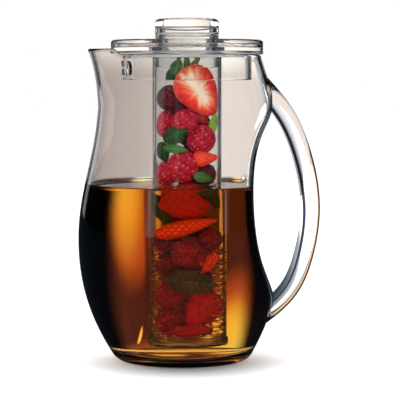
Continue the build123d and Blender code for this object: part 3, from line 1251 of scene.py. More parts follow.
def ball_grid(rows: int, columns: int) -> tuple[Array, tuple[Array, ...]]:
    """Directions over a sphere, row by row from -Z to +Z, with a pole at each end.

    Args:
        rows: rows between the poles.
        columns: points in each row.

    Returns:
        The directions, and the quads and triangles between them.
    """
    up = np.linspace(-pi / 2, pi / 2, rows + 2)[1:-1, None]
    angle = tau * np.arange(columns)[None, :] / columns
    level = np.cos(up)
    grid = np.stack([level * np.cos(angle), level * np.sin(angle), np.sin(up) + 0 * angle], -1)
    return np.vstack([grid.reshape(-1, 3), [[0, 0, -1], [0, 0, 1]]]), capped_faces(rows, columns)


def nearest_spot(ways: Array, centres: Array) -> Array:
    """Angle from each direction to the nearest of some centres."""
    return np.arccos(np.clip((ways @ centres.T).max(1), -1, 1))


class FruitKind(Enum):
    """What a prop in the tube is."""

    RASPBERRY = "raspberry"
    STRAWBERRY = "strawberry"
    HALF = "half_strawberry"
    LEAF = "mint_leaf"


@dataclass(frozen=True)
class FruitSkin:
    """Ripe fruit or leaf: wet and soft, with painted shade in its folds.

    The eye gets small highlights on each bump, pale seeds or veins, and dark gaps. The dark gaps
    are painted shade, and on raspberries the pale specks are painted highlights.
    """

    name: str
    light: str
    dark: str
    seed: str = "c8903c"
    roughness: float = 0.28
    index: float = 1.3
    coat: float = 0.1
    coat_roughness: float = 0.06
    grain: float = 260.0
    grain_share: float = 0.5
    shade: tuple[float, float] = (0.25, 1.1)
    flesh: Steps = ((0.08, "f7d9bd"), (0.36, "f48a5c"), (0.58, "ec3a24"), (0.98, "c00c10"))
    streaks: float = 5.0
    streak_share: float = 0.9
    crease: float = 7.0
    crease_range: tuple[float, float] = (0.3, 0.9)
    crease_shade_level: float = 0.25
    bump: float = 0.15
    bump_height: float = 0.4

    def colour(self, tree: bpy.types.NodeTree, grain: bpy.types.NodeSocket) -> bpy.types.NodeSocket:
        """Works out the colour from the piece's own attributes for fold shade, seeds and cut flesh.

        Args:
            tree: the node tree.
            grain: socket with the fine noise.

        Returns:
            The socket with the colour, with painted shade in folds and creases.
        """
        fold, seed, cut, spoke = (
            add_node(tree, "ShaderNodeAttribute", {"attribute_name": key}).outputs
            for key in ("fold", "seed", "cut", "spoke"))
        # Fold and random grain mix the dark and light skin; on fruit the fold is painted shade.
        mottled = add_node(tree, "ShaderNodeMath", {"operation": "MULTIPLY_ADD", 1: self.grain_share},
                           in0=grain, in2=fold["Fac"])
        shade = add_node(tree, "ShaderNodeMapRange", {
            "From Min": self.shade[0], "From Max": self.shade[1]}, Value=mottled.outputs[0])
        skin = add_node(tree, "ShaderNodeMix", {
            "data_type": "RGBA", 6: linear(self.dark), 7: linear(self.light)}, in0=shade.outputs[0])
        seeds = add_node(tree, "ShaderNodeMix", {"data_type": "RGBA", 7: linear(self.seed)},
                         in0=seed["Fac"], in6=skin.outputs[2])
        rays = add_node(tree, "ShaderNodeTexNoise", {"Scale": self.streaks, "Detail": 2.0},
                        Vector=spoke["Vector"])
        inner = add_node(tree, "ShaderNodeMath", {
            "operation": "MULTIPLY_ADD", 1: self.streak_share, 2: -self.streak_share / 2},
            in0=rays.outputs[0])
        depth = add_node(tree, "ShaderNodeMath", {"operation": "ADD"}, in0=cut["Fac"],
                         in1=inner.outputs[0])
        flesh = add_node(tree, "ShaderNodeValToRGB", Fac=depth.outputs[0])
        set_ramp(flesh.color_ramp, self.flesh)
        is_cut = add_node(tree, "ShaderNodeMath", {"operation": "GREATER_THAN", 1: 0.001}, in0=cut["Fac"])
        whole = add_node(tree, "ShaderNodeMix", {"data_type": "RGBA"}, in0=is_cut.outputs[0],
                         in6=seeds.outputs[2], in7=flesh.outputs[0])
        # Ambient occlusion darkens creases and gaps between parts: painted shade.
        crease = add_node(tree, "ShaderNodeAmbientOcclusion", {
            "samples": 6, "only_local": True, "Distance": self.crease * MM})
        painted_crease_shade = add_node(tree, "ShaderNodeMapRange", {
            "From Min": self.crease_range[0], "From Max": self.crease_range[1],
            "To Min": self.crease_shade_level}, Value=crease.outputs["AO"])
        darkened = add_node(tree, "ShaderNodeMix", {"data_type": "RGBA", "blend_type": "MULTIPLY", 0: 1.0},
                            in6=whole.outputs[2], in7=painted_crease_shade.outputs["Result"])
        return darkened.outputs[2]

    def build(self) -> bpy.types.Material:
        """Makes the material: a slightly coated skin with a fine bump.

        Returns:
            The material.
        """
        material, tree, output = new_material(self.name)
        place = add_node(tree, "ShaderNodeTexCoord")
        noise = add_node(tree, "ShaderNodeTexNoise", {"Scale": self.grain, "Detail": 3.0},
                         Vector=place.outputs["Object"])
        bump = add_node(tree, "ShaderNodeBump", {
            "Strength": self.bump, "Distance": self.bump_height * MM}, Height=noise.outputs[0])
        shader = add_node(tree, "ShaderNodeBsdfPrincipled", {
            "Roughness": self.roughness, "IOR": self.index, "Coat Weight": self.coat,
            "Coat Roughness": self.coat_roughness},
            Base_Color=self.colour(tree, noise.outputs[0]), Normal=bump.outputs[0])
        tree.links.new(shader.outputs[0], output.inputs["Surface"])
        return material


@dataclass(frozen=True)
class Raspberry:
    """Numbers of a raspberry of unit size: round bumps, painted highlights by every second one."""

    bumps: int = 130
    scatter: float = 0.035
    bump_angle: float = 0.2
    core: float = 0.92
    swell: float = 0.09
    painted_glint_scatter: float = 0.04
    painted_glint_edge: tuple[float, float] = (0.042, 0.02)


@dataclass(frozen=True)
class Strawberry:
    """Numbers of a strawberry of unit size: its taper, its seeds and the plane of a cut."""

    widest: float = 1.1
    taper: float = 0.62
    taper_power: float = 1.15
    seeds: int = 120
    seed_edge: tuple[float, float] = (0.062, 0.03)
    pit: float = 0.025
    cut_at: float = -0.12
    cut_slope: float = 0.05
    tip_rim: tuple[float, float] = (0.35, 1.5)
    top_rim: tuple[float, float] = (0.6, 1.3)


@dataclass(frozen=True)
class Leaf:
    """Numbers of a leaf of unit half size: teeth on its edge, side veins and a midrib."""

    grid: tuple[int, int] = (49, 25)
    teeth: int = 11
    tooth: float = 0.14
    veins: int = 7
    vein_lean: float = 0.9
    vein_depth: float = 0.07
    midrib: float = 0.07
    midrib_height: float = 0.05
    cup: float = 0.25
    arch: float = 0.5


@dataclass(frozen=True)
class Fruit:
    """One piece of fruit or leaf: its middle, half sizes and turns about X, Y and Z in degrees.

    Its middle lies at its depth along Y, or else against the tube's front, where 1 is as near
    as its size lets it lie and 0 is on the axis.
    """

    kind: FruitKind
    x: float
    z: float
    size: Triple
    tilt: Triple = (0.0, 0.0, 0.0)
    skin: str = "raspberry_red"
    front: float = 1.0
    depth: float | None = None
    bore: float = 24.3
    ball: tuple[int, int] = (68, 104)

    def place(self) -> Triple:
        """Works out the middle: at its depth, or as near to the tube's front as its size allows.

        Returns:
            X, Y and Z of the middle.
        """
        if self.depth is not None:
            return (self.x, self.depth, self.z)
        keep = self.size[1] if self.kind is FruitKind.LEAF else max(self.size[:2])
        room = max(self.bore - keep, 0.0) ** 2 - self.x**2
        return (self.x, -self.front * max(room, 0.0) ** 0.5, self.z)

    def shape(self) -> tuple[Array, tuple[Array, ...], dict[str, Array]]:
        """Works out the piece at unit size.

        Returns:
            Points, faces and the attributes that the material reads.
        """
        if self.kind is FruitKind.LEAF:
            return self.leaf(Leaf())
        ways, faces = ball_grid(*self.ball)
        if self.kind is FruitKind.RASPBERRY:
            points, values = self.raspberry(ways, Raspberry())
        else:
            points, values = self.strawberry(ways, Strawberry())
        return points, faces, values

    def raspberry(self, ways: Array, form: Raspberry) -> tuple[Array, dict[str, Array]]:
        """Swells a sphere into a round bump over each of many even spots.

        A bump's height is the root of one less the square of the angle from its spot, in bump
        angles. The spots are moved a little at random, seeded by the piece's height.

        Args:
            ways: directions over a sphere.
            form: numbers of the form.

        Returns:
            Points and attributes.
        """
        scatter = np.random.default_rng(int(10 * self.z)).normal(0, 1, (2, form.bumps, 3))
        centres = spots(form.bumps) + form.scatter * scatter[0]
        centres /= np.linalg.norm(centres, axis=1)[:, None]
        near = nearest_spot(ways, centres)
        bump = np.sqrt(np.clip(1 - (near / form.bump_angle) ** 2, 0, 1))
        # Pale specks beside every second bump are painted highlights.
        painted_glints = centres[::2] + form.painted_glint_scatter * scatter[1, ::2]
        painted_glints /= np.linalg.norm(painted_glints, axis=1)[:, None]
        painted_glint = smooth_step(nearest_spot(ways, painted_glints), *form.painted_glint_edge)
        # Fold is light on each bump's top and dark between bumps: painted shade.
        return ways * (form.core + form.swell * bump)[:, None], {
            "fold": 0.2 + bump * 0.7, "seed": painted_glint, "cut": 0 * bump, "spoke": ways * 0}

    def strawberry(self, ways: Array, form: Strawberry) -> tuple[Array, dict[str, Array]]:
        """Draws a sphere in towards its tip, with a pit at each seed.

        Its width falls off by a power of the share of the way to the tip, at -Z. A half has
        its front pushed back to a plane, and shows its flesh there from the core to the rim.

        Args:
            ways: directions over a sphere.
            form: numbers of the form.

        Returns:
            Points and attributes.
        """
        tip = np.clip((1 - ways[:, 2]) / 2, 0, 1)
        width = form.widest - form.taper * tip**form.taper_power
        seeds = smooth_step(nearest_spot(ways, spots(form.seeds)), *form.seed_edge)
        pits = (1 - form.pit * seeds)[:, None]
        points = ways * np.stack([width, width, 1 + 0 * tip], -1) * pits
        cut = 0 * tip
        if self.kind is FruitKind.HALF:
            flat = ways[:, 1] < form.cut_at
            points[flat, 1] = form.cut_at * width[flat] + form.cut_slope * (ways[flat, 1] - form.cut_at)
            past = sum(much * np.clip(up - start, 0, 1) for up, (start, much) in (
                (-ways[:, 2], form.tip_rim), (ways[:, 2], form.top_rim)))
            cut = np.where(flat, np.clip(np.hypot(ways[:, 0], past), 0.01, 1), 0)
            seeds = np.where(flat, 0, seeds)
        around = np.arctan2(ways[:, 2], ways[:, 0])
        spoke = np.stack([np.cos(around), np.sin(around), cut * 0.25], -1)
        # Fold is darker round each seed's pit: painted shade.
        return points, {"fold": 0.6 - 0.3 * seeds, "seed": seeds, "cut": cut, "spoke": spoke}

    def leaf(self, form: Leaf) -> tuple[Array, tuple[Array, ...], dict[str, Array]]:
        """Works out a leaf, lying in X and Z with its tip towards +X.

        Its half width is a power of a sine along its length, less a saw wave that grows to its
        edge. Its depth is a parabola across, less one along, less the side veins' saw wave, plus
        the midrib's bell.

        Args:
            form: numbers of the form.

        Returns:
            Points, faces and attributes.
        """
        rows, columns = form.grid
        along, across = np.meshgrid(np.linspace(0, 1, rows), np.linspace(-1, 1, columns), indexing="ij")
        off = np.abs(across)
        saw = np.abs((along * form.teeth + 0.3 * off) % 1 - 0.5) * 2
        width = np.sin(pi * along**0.8) ** 0.75 * (1 - form.tooth * saw * across**4)
        vein = np.abs((along * form.veins - form.vein_lean * off) % 1 - 0.5) * 2
        rib = np.exp(-((across / form.midrib) ** 2))
        depth = form.cup * across**2 - form.arch * (along - 0.5) ** 2
        depth += form.midrib_height * rib - form.vein_depth * vein * off
        points = np.stack([along * 2 - 1, depth, across * width], -1).reshape(-1, 3)
        fold = (0.25 + 0.5 * vein - 0.1 * rib).ravel()
        return points, (grid_faces(rows, columns, around=False),), {
            "fold": fold, "seed": np.clip(rib, 0, 1).ravel() * 0.45, "cut": 0 * fold,
            "spoke": points * 0}

    def build(self, name: str, material: bpy.types.Material) -> bpy.types.Object:
        """Makes the piece and stores its attributes.

        Args:
            name: the prop's name.
            material: its finish.

        Returns:
            The new object.
        """
        points, faces, values = self.shape()
        placed = (points * self.size) @ turned_by(self.tilt).T + self.place()
        made = make_piece(name, placed, *faces)
        for key, value in values.items():
            kind, slot = ("FLOAT_VECTOR", "vector") if value.ndim == 2 else ("FLOAT", "value")
            stored = made.data.attributes.new(key, kind, "POINT")
            stored.data.foreach_set(slot, value.ravel())
        dress(made, material)
        return made


# Name, colour on the heights, colour in the folds, and colour of seeds, painted highlight
# specks or veins. On fruit the darker fold colour is painted shade. The deep strawberry and the
# raspberry and strawberry copies for the tea are painted shade; raspberry_dark is a darker
# fruit, and painted shade where it fills the back.
SKINS = (
    FruitSkin("raspberry_red", "b80a26", "500314", seed="ffb4c8"),
    FruitSkin("raspberry_dark", "5c0818", "1c0208", seed="b06078"),
    FruitSkin("raspberry_tea", "78081c", "300208", seed="c86070"),
    FruitSkin("strawberry_tea", "b8120c", "4c0406", seed="601c0c"),
    FruitSkin("strawberry_skin", "e4180e", "9c0608", seed="c87840"),
    FruitSkin("strawberry_shaded", "b01014", "3c0306", seed="8c4424"),
    FruitSkin("strawberry_bright", "fa3420", "cc1410", seed="f8a850"),
    FruitSkin("strawberry_slice_tea", "d42c18", "8c0e0a", seed="f09a58"),
    FruitSkin("mint_green", "4c8434", "10300c", seed="8cb860", roughness=0.45),
    FruitSkin("mint_dark", "2c5422", "081806", seed="507838", roughness=0.45),
    FruitSkin("leaf_olive", "6a6a24", "1c1c06", seed="a0a048", roughness=0.45),
    FruitSkin("leaf_tea", "40421a", "101204", seed="787430", roughness=0.45),
    FruitSkin("leaf_lime", "9cc83c", "3c6414", seed="c0dc6c", roughness=0.45),
)

R, S, H, L = (FruitKind.RASPBERRY, FruitKind.STRAWBERRY, FruitKind.HALF, FruitKind.LEAF)

# Kind, X and Z of the middle, half sizes, turns, skin, and share towards the tube's front or
# depth, from the top of the tube down.
FRUIT = (
    Fruit(H, 9.2, 208.6, (19.0, 9.0, 22.6), (4, -38, 18), "strawberry_skin", depth=-8.0),
    Fruit(L, -7.5, 228.0, (7.0, 3.0, 5.4), (0, -70, 10), "mint_green", depth=-11.0),
    Fruit(L, -10.5, 222.4, (6.2, 3.0, 4.6), (0, -25, -10), "mint_dark", depth=-10.0),
    Fruit(L, 0.0, 230.4, (7.5, 3.0, 3.0), (0, -92, 0), "mint_green", depth=-10.0),
    Fruit(L, 6.5, 231.6, (5.5, 3.0, 2.2), (0, -42, 0), "leaf_olive", depth=-8.0),
    Fruit(R, -13.6, 203.4, (9.8, 9.4, 10.0), (10, 0, 0), "raspberry_dark", depth=-4.0),
    Fruit(R, -4.0, 196.0, (11.0, 9.0, 9.5), (10, 0, 0), "raspberry_dark", depth=2.0),
    Fruit(R, 8.0, 193.0, (11.0, 9.0, 9.0), (15, 25, 0), "raspberry_dark", depth=9.0),
    Fruit(R, -16.2, 183.4, (8.0, 7.6, 10.8), (0, 5, 20), "raspberry_red", 0.9),
    Fruit(R, -1.6, 185.6, (11.0, 9.0, 10.2), (25, 0, 40), "raspberry_red", 0.85),
    Fruit(S, 9.4, 188.4, (7.5, 7.0, 13.0), (0, -54, 0), "strawberry_shaded", depth=0.0),
    Fruit(R, 10.9, 171.8, (11.2, 10.4, 11.8), (20, 10, 50), "raspberry_red"),
    Fruit(R, 2.0, 178.0, (14.0, 9.0, 13.0), (20, 10, 50), "raspberry_dark", depth=9.0),
    Fruit(L, 20.2, 184.2, (8.4, 3.0, 3.6), (0, -78, 0), "leaf_lime"),
    Fruit(L, -8.2, 176.6, (10.6, 3.0, 7.4), (-8, -24, 0), "mint_dark"),
    Fruit(L, -8.6, 165.6, (9.6, 3.0, 3.9), (6, 8, 0), "mint_green"),
    Fruit(L, -17.6, 162.6, (8.4, 3.0, 5.6), (0, 74, 20), "mint_dark"),
    Fruit(R, -3.2, 151.2, (12.6, 11.0, 12.6), (20, 10, 20), "raspberry_red"),
    Fruit(S, 13.0, 157.6, (6.8, 7.0, 10.0), (0, -98, 0), "strawberry_bright"),
    Fruit(R, 6.0, 160.0, (13.0, 9.0, 12.0), (20, 10, 50), "raspberry_dark", depth=9.0),
    Fruit(R, -15.6, 145.6, (8.8, 8.6, 10.8), (0, 20, 0), "raspberry_red", 0.8),
    Fruit(R, 14.0, 144.6, (8.6, 8.0, 8.8), (0, 20, 0), "raspberry_dark", 0.4),
    Fruit(R, 2.0, 142.0, (14.0, 8.0, 9.0), (0, 20, 0), "raspberry_dark", depth=8.0),
    Fruit(L, 12.0, 143.4, (7.4, 3.0, 4.4), (0, 10, 0), "mint_green", 0.95),
    Fruit(S, -3.6, 123.6, (17.0, 13.6, 20.0), (0, 82, 0), "strawberry_tea"),
    Fruit(L, 17.5, 127.0, (10.0, 3.0, 4.4), (0, 68, 0), "leaf_tea"),
    Fruit(L, 13.0, 129.0, (7.5, 3.0, 3.6), (0, 28, 0), "leaf_tea"),
    Fruit(L, 18.0, 132.0, (7.0, 3.0, 3.0), (0, -60, 0), "leaf_tea"),
    Fruit(L, -18.5, 117.5, (13.5, 3.0, 6.0), (0, 66, 0), "mint_dark"),
    Fruit(R, 0.0, 108.0, (16.0, 10.0, 12.0), (15, 25, 0), "raspberry_dark", depth=6.0),
    Fruit(S, -1.0, 104.6, (7.0, 9.0, 22.0), (0, -105, 0), "strawberry_slice_tea", 0.9),
    Fruit(R, -14.2, 94.4, (9.8, 9.0, 9.8), (15, 25, 0), "raspberry_dark"),
    Fruit(R, 15.0, 94.8, (9.0, 8.4, 9.4), (15, 25, 0), "raspberry_tea"),
    Fruit(R, 0.5, 84.6, (13.4, 10.5, 10.6), (25, 20, 0), "raspberry_tea"),
    Fruit(S, 15.0, 78.0, (5.0, 5.0, 9.0), (0, 32, 0), "strawberry_slice_tea"),
    Fruit(R, -13.8, 76.0, (9.0, 8.5, 9.0), (15, 25, 0), "raspberry_dark", 0.8),
    Fruit(R, 1.0, 70.0, (17.0, 9.0, 15.0), (15, 25, 0), "raspberry_dark", depth=6.0),
    Fruit(L, 3.5, 64.0, (18.0, 3.0, 10.0), (0, 7, 0), "leaf_tea"),
    Fruit(R, -12.4, 54.6, (10.8, 10.0, 12.0), (0, 30, 0), "raspberry_tea"),
    Fruit(R, 4.0, 54.0, (15.0, 9.0, 12.6), (0, 30, 0), "raspberry_dark", depth=6.0),
    Fruit(S, 9.2, 42.0, (14.4, 12.0, 17.0), (0, 38, 0), "strawberry_tea"),
    Fruit(R, -13.0, 34.5, (10.4, 9.6, 10.4), (20, 30, 30), "raspberry_tea"),
    Fruit(R, -2.0, 40.0, (16.0, 10.0, 15.0), (20, 30, 30), "raspberry_dark", depth=6.0),
    Fruit(S, -1.0, 26.4, (6.4, 9.0, 17.0), (0, 86, 0), "strawberry_shaded", 0.5),
)


# Studio.


@dataclass(frozen=True)
class Glow:
    """A soft oval patch of painted light on the backdrop, in millimetres across X and up Z."""

    x: float
    z: float
    wide: float
    high: float
    colour: str
    amount: float = 1.0
    core: float = 0.2
    lean: float = 0.0

    def lay(self, tree: bpy.types.NodeTree, place: bpy.types.NodeSocket,
            under: bpy.types.NodeSocket) -> bpy.types.NodeSocket:
        """Mixes the patch over a colour: full inside its core, easing to nothing at its edge.

        Args:
            tree: the backdrop's node tree.
            place: socket with the place in metres.
            under: socket with the colour under the patch.

        Returns:
            The socket with the mixed colour.
        """
        oval = add_node(tree, "ShaderNodeMapping", {
            "vector_type": "TEXTURE", "Location": (self.x * MM, 0, self.z * MM),
            "Rotation": (0, self.lean, 0),
            "Scale": (self.wide * MM / 2, 1e6, self.high * MM / 2)}, Vector=place)
        away = add_node(tree, "ShaderNodeVectorMath", {"operation": "LENGTH"}, in0=oval.outputs[0])
        mask = add_node(tree, "ShaderNodeMapRange", {
            "interpolation_type": "SMOOTHSTEP", "From Min": 1.0, "From Max": self.core,
            "To Max": self.amount}, Value=away.outputs["Value"])
        mixed = add_node(tree, "ShaderNodeMix", {"data_type": "RGBA", 7: linear(self.colour)},
                         in0=mask.outputs["Result"], in6=under)
        return mixed.outputs[2]


@dataclass(frozen=True)
class Backdrop:
    """Paper of painted light and shade behind the jug, seen only through clear walls and the drink."""

    left: str = "afa099"
    right: str = "dccdc4"
    # Painted shade behind the tea, below its level.
    low: str = "4b2e2e"
    glows: tuple[Glow, ...] = ()
    y: float = 112.0
    outline: tuple[tuple[float, float], ...] = (
        (-110, -5), (56, -5), (56, 136), (-110, 136), (75, 136), (75, 237), (-110, 237), (52, 237),
        (52, 300), (-52, 300), (-52, 237))
    sheets: tuple[tuple[int, ...], ...] = ((0, 1, 2, 3), (3, 4, 5, 6), (10, 7, 8, 9))
    blend: tuple[float, float] = (-60.0, 50.0)
    gain: float = 1.4
    # The paper glows brighter towards the lid: painted light.
    lift: float = 1.7
    lift_from: float = 215.0
    lift_to: float = 243.0

    def build(self) -> bpy.types.Object:
        """Makes the paper: a sideways blend above the tea's level, painted shade and glows below it.

        Returns:
            The paper, hidden from all light but what comes through something clear.
        """
        corners = np.array([[x, self.y, z] for x, z in self.outline])
        card = make_piece("studio_paper", corners, np.array(self.sheets), smooth=False)
        material, tree, output = new_material("lit_paper")
        place = add_node(tree, "ShaderNodeTexCoord").outputs["Object"]
        split = add_node(tree, "ShaderNodeSeparateXYZ", Vector=place)
        across = add_node(tree, "ShaderNodeMapRange", {
            "interpolation_type": "SMOOTHSTEP", "From Min": self.blend[0] * MM,
            "From Max": self.blend[1] * MM}, Value=split.outputs["X"])
        above = add_node(tree, "ShaderNodeMix", {
            "data_type": "RGBA", 6: linear(self.left), 7: linear(self.right)},
            in0=across.outputs["Result"])
        up = add_node(tree, "ShaderNodeMapRange", {
            "From Min": (HEIGHTS.liquid - 1) * MM, "From Max": (HEIGHTS.liquid + 1) * MM},
            Value=split.outputs["Z"])
        base = add_node(tree, "ShaderNodeRGB")
        base.outputs[0].default_value = linear(self.low)
        below = base.outputs[0]
        for glow in self.glows:
            below = glow.lay(tree, place, below)
        both = add_node(tree, "ShaderNodeMix", {"data_type": "RGBA"}, in0=up.outputs["Result"],
                        in6=below, in7=above.outputs[2])
        rise = add_node(tree, "ShaderNodeMapRange", {
            "interpolation_type": "SMOOTHSTEP", "From Min": self.lift_from * MM,
            "From Max": self.lift_to * MM, "To Min": self.gain, "To Max": self.gain * self.lift},
            Value=split.outputs["Z"])
        light = add_node(tree, "ShaderNodeEmission", Color=both.outputs[2],
                         Strength=rise.outputs["Result"])
        tree.links.new(light.outputs[0], output.inputs["Surface"])
        dress(card, material)
        for ray in ("camera", "diffuse", "glossy", "shadow", "volume_scatter"):
            setattr(card, f"visible_{ray}", False)
        return card


# Middle, width, height, colour, amount and core of each patch, laid one over another, all painted
# light and shade seen through the tea: a bright band at either side of the tube with a dark
# stripe, the light at its foot, small painted highlights at the cap and the warm edge on the
# handle side.
GLOWS = (
    Glow(-34, 120, 34, 160, "b57068", 1.0, 0.6),
    Glow(-38, 122, 24, 136, "ece8bc", 1.0, 0.2),
    Glow(-26, 95, 7, 150, "2c1a18", 0.8, 0.4),
    Glow(-8, 2, 70, 40, "8a5850", 1.0, 0.5),
    Glow(21, 24, 34, 100, "b57068", 1.0, 0.35, lean=radians(14)),
    Glow(19, 14, 20, 76, "f4f8b4", 1.0, 0.3, lean=radians(14)),
    Glow(46, 100, 20, 130, "ffd090", 1.0, 0.5),
    Glow(-27.5, 18, 1.8, 15, "ffffe0", 1.0, 0.5),
    Glow(-12, 28, 26, 22, "f8e890", 0.9, 0.4),
)


@dataclass(frozen=True)
class Panel:
    """Soft rectangular light, with its places and size in metres and its power in watts."""

    name: str
    place: Triple
    target: Triple
    size: tuple[float, float]
    power: float

    def build(self) -> None:
        """Hangs the light, turns it to its target and hides it from mirrored and bent light."""
        data = bpy.data.lights.new(self.name, "AREA")
        data.shape = "RECTANGLE"
        data.size, data.size_y = self.size
        data.energy = self.power
        made = bpy.data.objects.new(self.name, data)
        bpy.context.scene.collection.objects.link(made)
        made.location = self.place
        made.visible_glossy = False
        made.visible_transmission = False
        away = np.array(self.place) - np.array(self.target)
        flat = float(np.hypot(away[0], away[1]))
        tip, turn = np.arctan2(flat, away[2]), np.arctan2(away[0], -away[1])
        made.rotation_euler = (float(tip), 0, float(turn))


@dataclass
class Studio:
    """Camera, floor, world, lights and backdrop.

    The camera's places are in metres, and sizes on the floor in millimetres. Each step is a
    value from -1 to 1 and the colour there. For the world, flags and ahead go by how far a way
    turns from the Y axis, upwards by less, ceiling goes by its Z and strips by its X. For the
    floor, white stands for dark: floor_flag goes by the distance in metres from the painted
    shadow's centre, and floor_sides by the X of the way to a place.
    """

    camera_distance: float = 1.5
    camera_height: float = 0.23
    aim: Triple = (0.0101, 0.0, 0.125)
    lens: float = 173.0
    sensor: float = 36.0
    clip: tuple[float, float] = (0.05, 50.0)
    bounces: int = 28
    mirror_bounces: int = 8
    clear_bounces: int = 24
    floor_half: float = 6000.0
    floor_colour: str = "f6f7f9"
    floor_lift: float = 0.3
    # Painted shadow round the jug's foot for the camera: colour, centre, radii in mm and depth.
    painted_shadow_colour: str = "20262e"
    painted_shadow_centre: tuple[float, float] = (-1.0, -30.0)
    painted_shadow_radii: tuple[float, float] = (5.0, 101.0)
    painted_shadow_depth: float = 0.88
    floor_flag: Steps = ((0.09, "000000"), (0.13, "ffffff"), (0.5, "f0f0f0"), (1.0, "202020"))
    floor_sides: Steps = ((0.26, "000000"), (0.4, "ffffff"), (0.54, "ffffff"), (0.64, "000000"))
    room: str = "fbfbfc"
    key_way: Triple = (-0.42, -0.62, 0.66)
    key_range: tuple[float, float] = (-0.4, 1.0)
    key_levels: tuple[float, float] = (0.1, 5.6)
    upright_share: float = 0.6
    flags: Steps = (
        (0.0, "fcfaf8"), (0.12, "f6f4f2"), (0.24, "c8ccd2"), (0.34, "666c78"), (0.42, "0c0c0e"),
        (0.54, "0c0c0e"), (0.62, "b0b4ba"), (0.7, "e4e6e8"), (0.8, "e4e6e8"), (0.86, "484c54"),
        (0.9, "484c54"), (0.95, "d8dadc"), (1.0, "f4f4f4"))
    ahead: Steps = ((-1.0, "000000"), (0.0, "c8ccd2"), (0.16, "c8ccd2"), (0.3, "000000"))
    ceiling: Steps = ((0.0, "181819"), (0.72, "1c1c1e"), (0.86, "b8babd"), (1.0, "ffffff"))
    strips: Steps = (
        (-1.0, "101010"), (-0.66, "101010"), (-0.6, "c8cacc"), (-0.5, "c8cacc"), (-0.44, "101010"),
        (0.72, "101010"), (0.76, "909294"), (0.82, "909294"), (0.86, "101010"))
    panels: tuple[Panel, ...] = (
        Panel("panel_left", (-1.3, -0.9, 1.1), (0, 0, 0.12), (0.9, 1.2), 14),
        Panel("panel_right", (1.4, -0.6, 0.9), (0, 0, 0.15), (0.5, 1.3), 8))
    backdrop: Backdrop = Backdrop(glows=GLOWS)

    def camera(self) -> None:
        """Places the camera level with the shoulder, a metre and a half away, aimed a little down."""
        data = bpy.data.cameras.new("camera")
        data.lens, data.sensor_width = self.lens, self.sensor
        data.clip_start, data.clip_end = self.clip
        made = bpy.data.objects.new("camera", data)
        bpy.context.scene.collection.objects.link(made)
        drop = self.camera_height - self.aim[2]
        made.location = (self.aim[0], -self.camera_distance, self.camera_height)
        made.rotation_euler = (pi / 2 - float(np.arctan2(drop, self.camera_distance)), 0, 0)
        bpy.context.scene.camera = made

    def floor_seen_through(self, tree: bpy.types.NodeTree, place: bpy.types.NodeSocket,
                           away: bpy.types.NodeSocket) -> bpy.types.NodeSocket:
        """Works out how dark the floor is for light that came through acrylic and met nothing matt.

        Args:
            tree: the floor's node tree.
            place: socket with the place on the floor.
            away: socket with its distance from the middle of the painted shadow.

        Returns:
            The socket with a darkness from 0 to 1.
        """
        path = add_node(tree, "ShaderNodeLightPath")
        way = add_node(tree, "ShaderNodeVectorMath", {"operation": "NORMALIZE"}, in0=place)
        split = add_node(tree, "ShaderNodeSeparateXYZ", Vector=way.outputs[0])
        aside = add_node(tree, "ShaderNodeMath", {"operation": "ABSOLUTE"}, in0=split.outputs["X"])
        far = add_node(tree, "ShaderNodeMath", {"operation": "GREATER_THAN", 1: self.floor_flag[1][0]},
                       in0=away)
        off = add_node(tree, "ShaderNodeMath", {"operation": "MULTIPLY"}, in0=far.outputs[0],
                       in1=color_steps(tree, aside.outputs[0], self.floor_sides))
        masked = add_node(tree, "ShaderNodeMath", {"operation": "MAXIMUM"},
                          in0=color_steps(tree, away, self.floor_flag), in1=off.outputs[0])
        through = add_node(tree, "ShaderNodeMath", {"operation": "MULTIPLY"}, in0=masked.outputs[0],
                           in1=path.outputs["Is Transmission Ray"])
        bare = add_node(tree, "ShaderNodeMath", {"operation": "SUBTRACT", "use_clamp": True},
                        in0=through.outputs[0], in1=ray_kinds(tree)[0])
        return bare.outputs[0]

    def floor(self) -> None:
        """Lays a white matt floor and shows each kind of ray its own shade of it.

        The camera sees it lifted to white, with a soft painted shadow where the jug stands.
        Mirrored light sees it dark all over, and light that came through acrylic sees it dark
        in a wide ring round the jug and in narrow sectors beyond.
        """
        half = self.floor_half
        corners = np.array([[-half, -half, 0], [half, -half, 0], [half, half, 0], [-half, half, 0]])
        made = make_piece("studio_floor", corners, np.array([[0, 1, 2, 3]]), smooth=False)
        material, tree, output = new_material("matt_white_floor")
        place = add_node(tree, "ShaderNodeTexCoord").outputs["Object"]
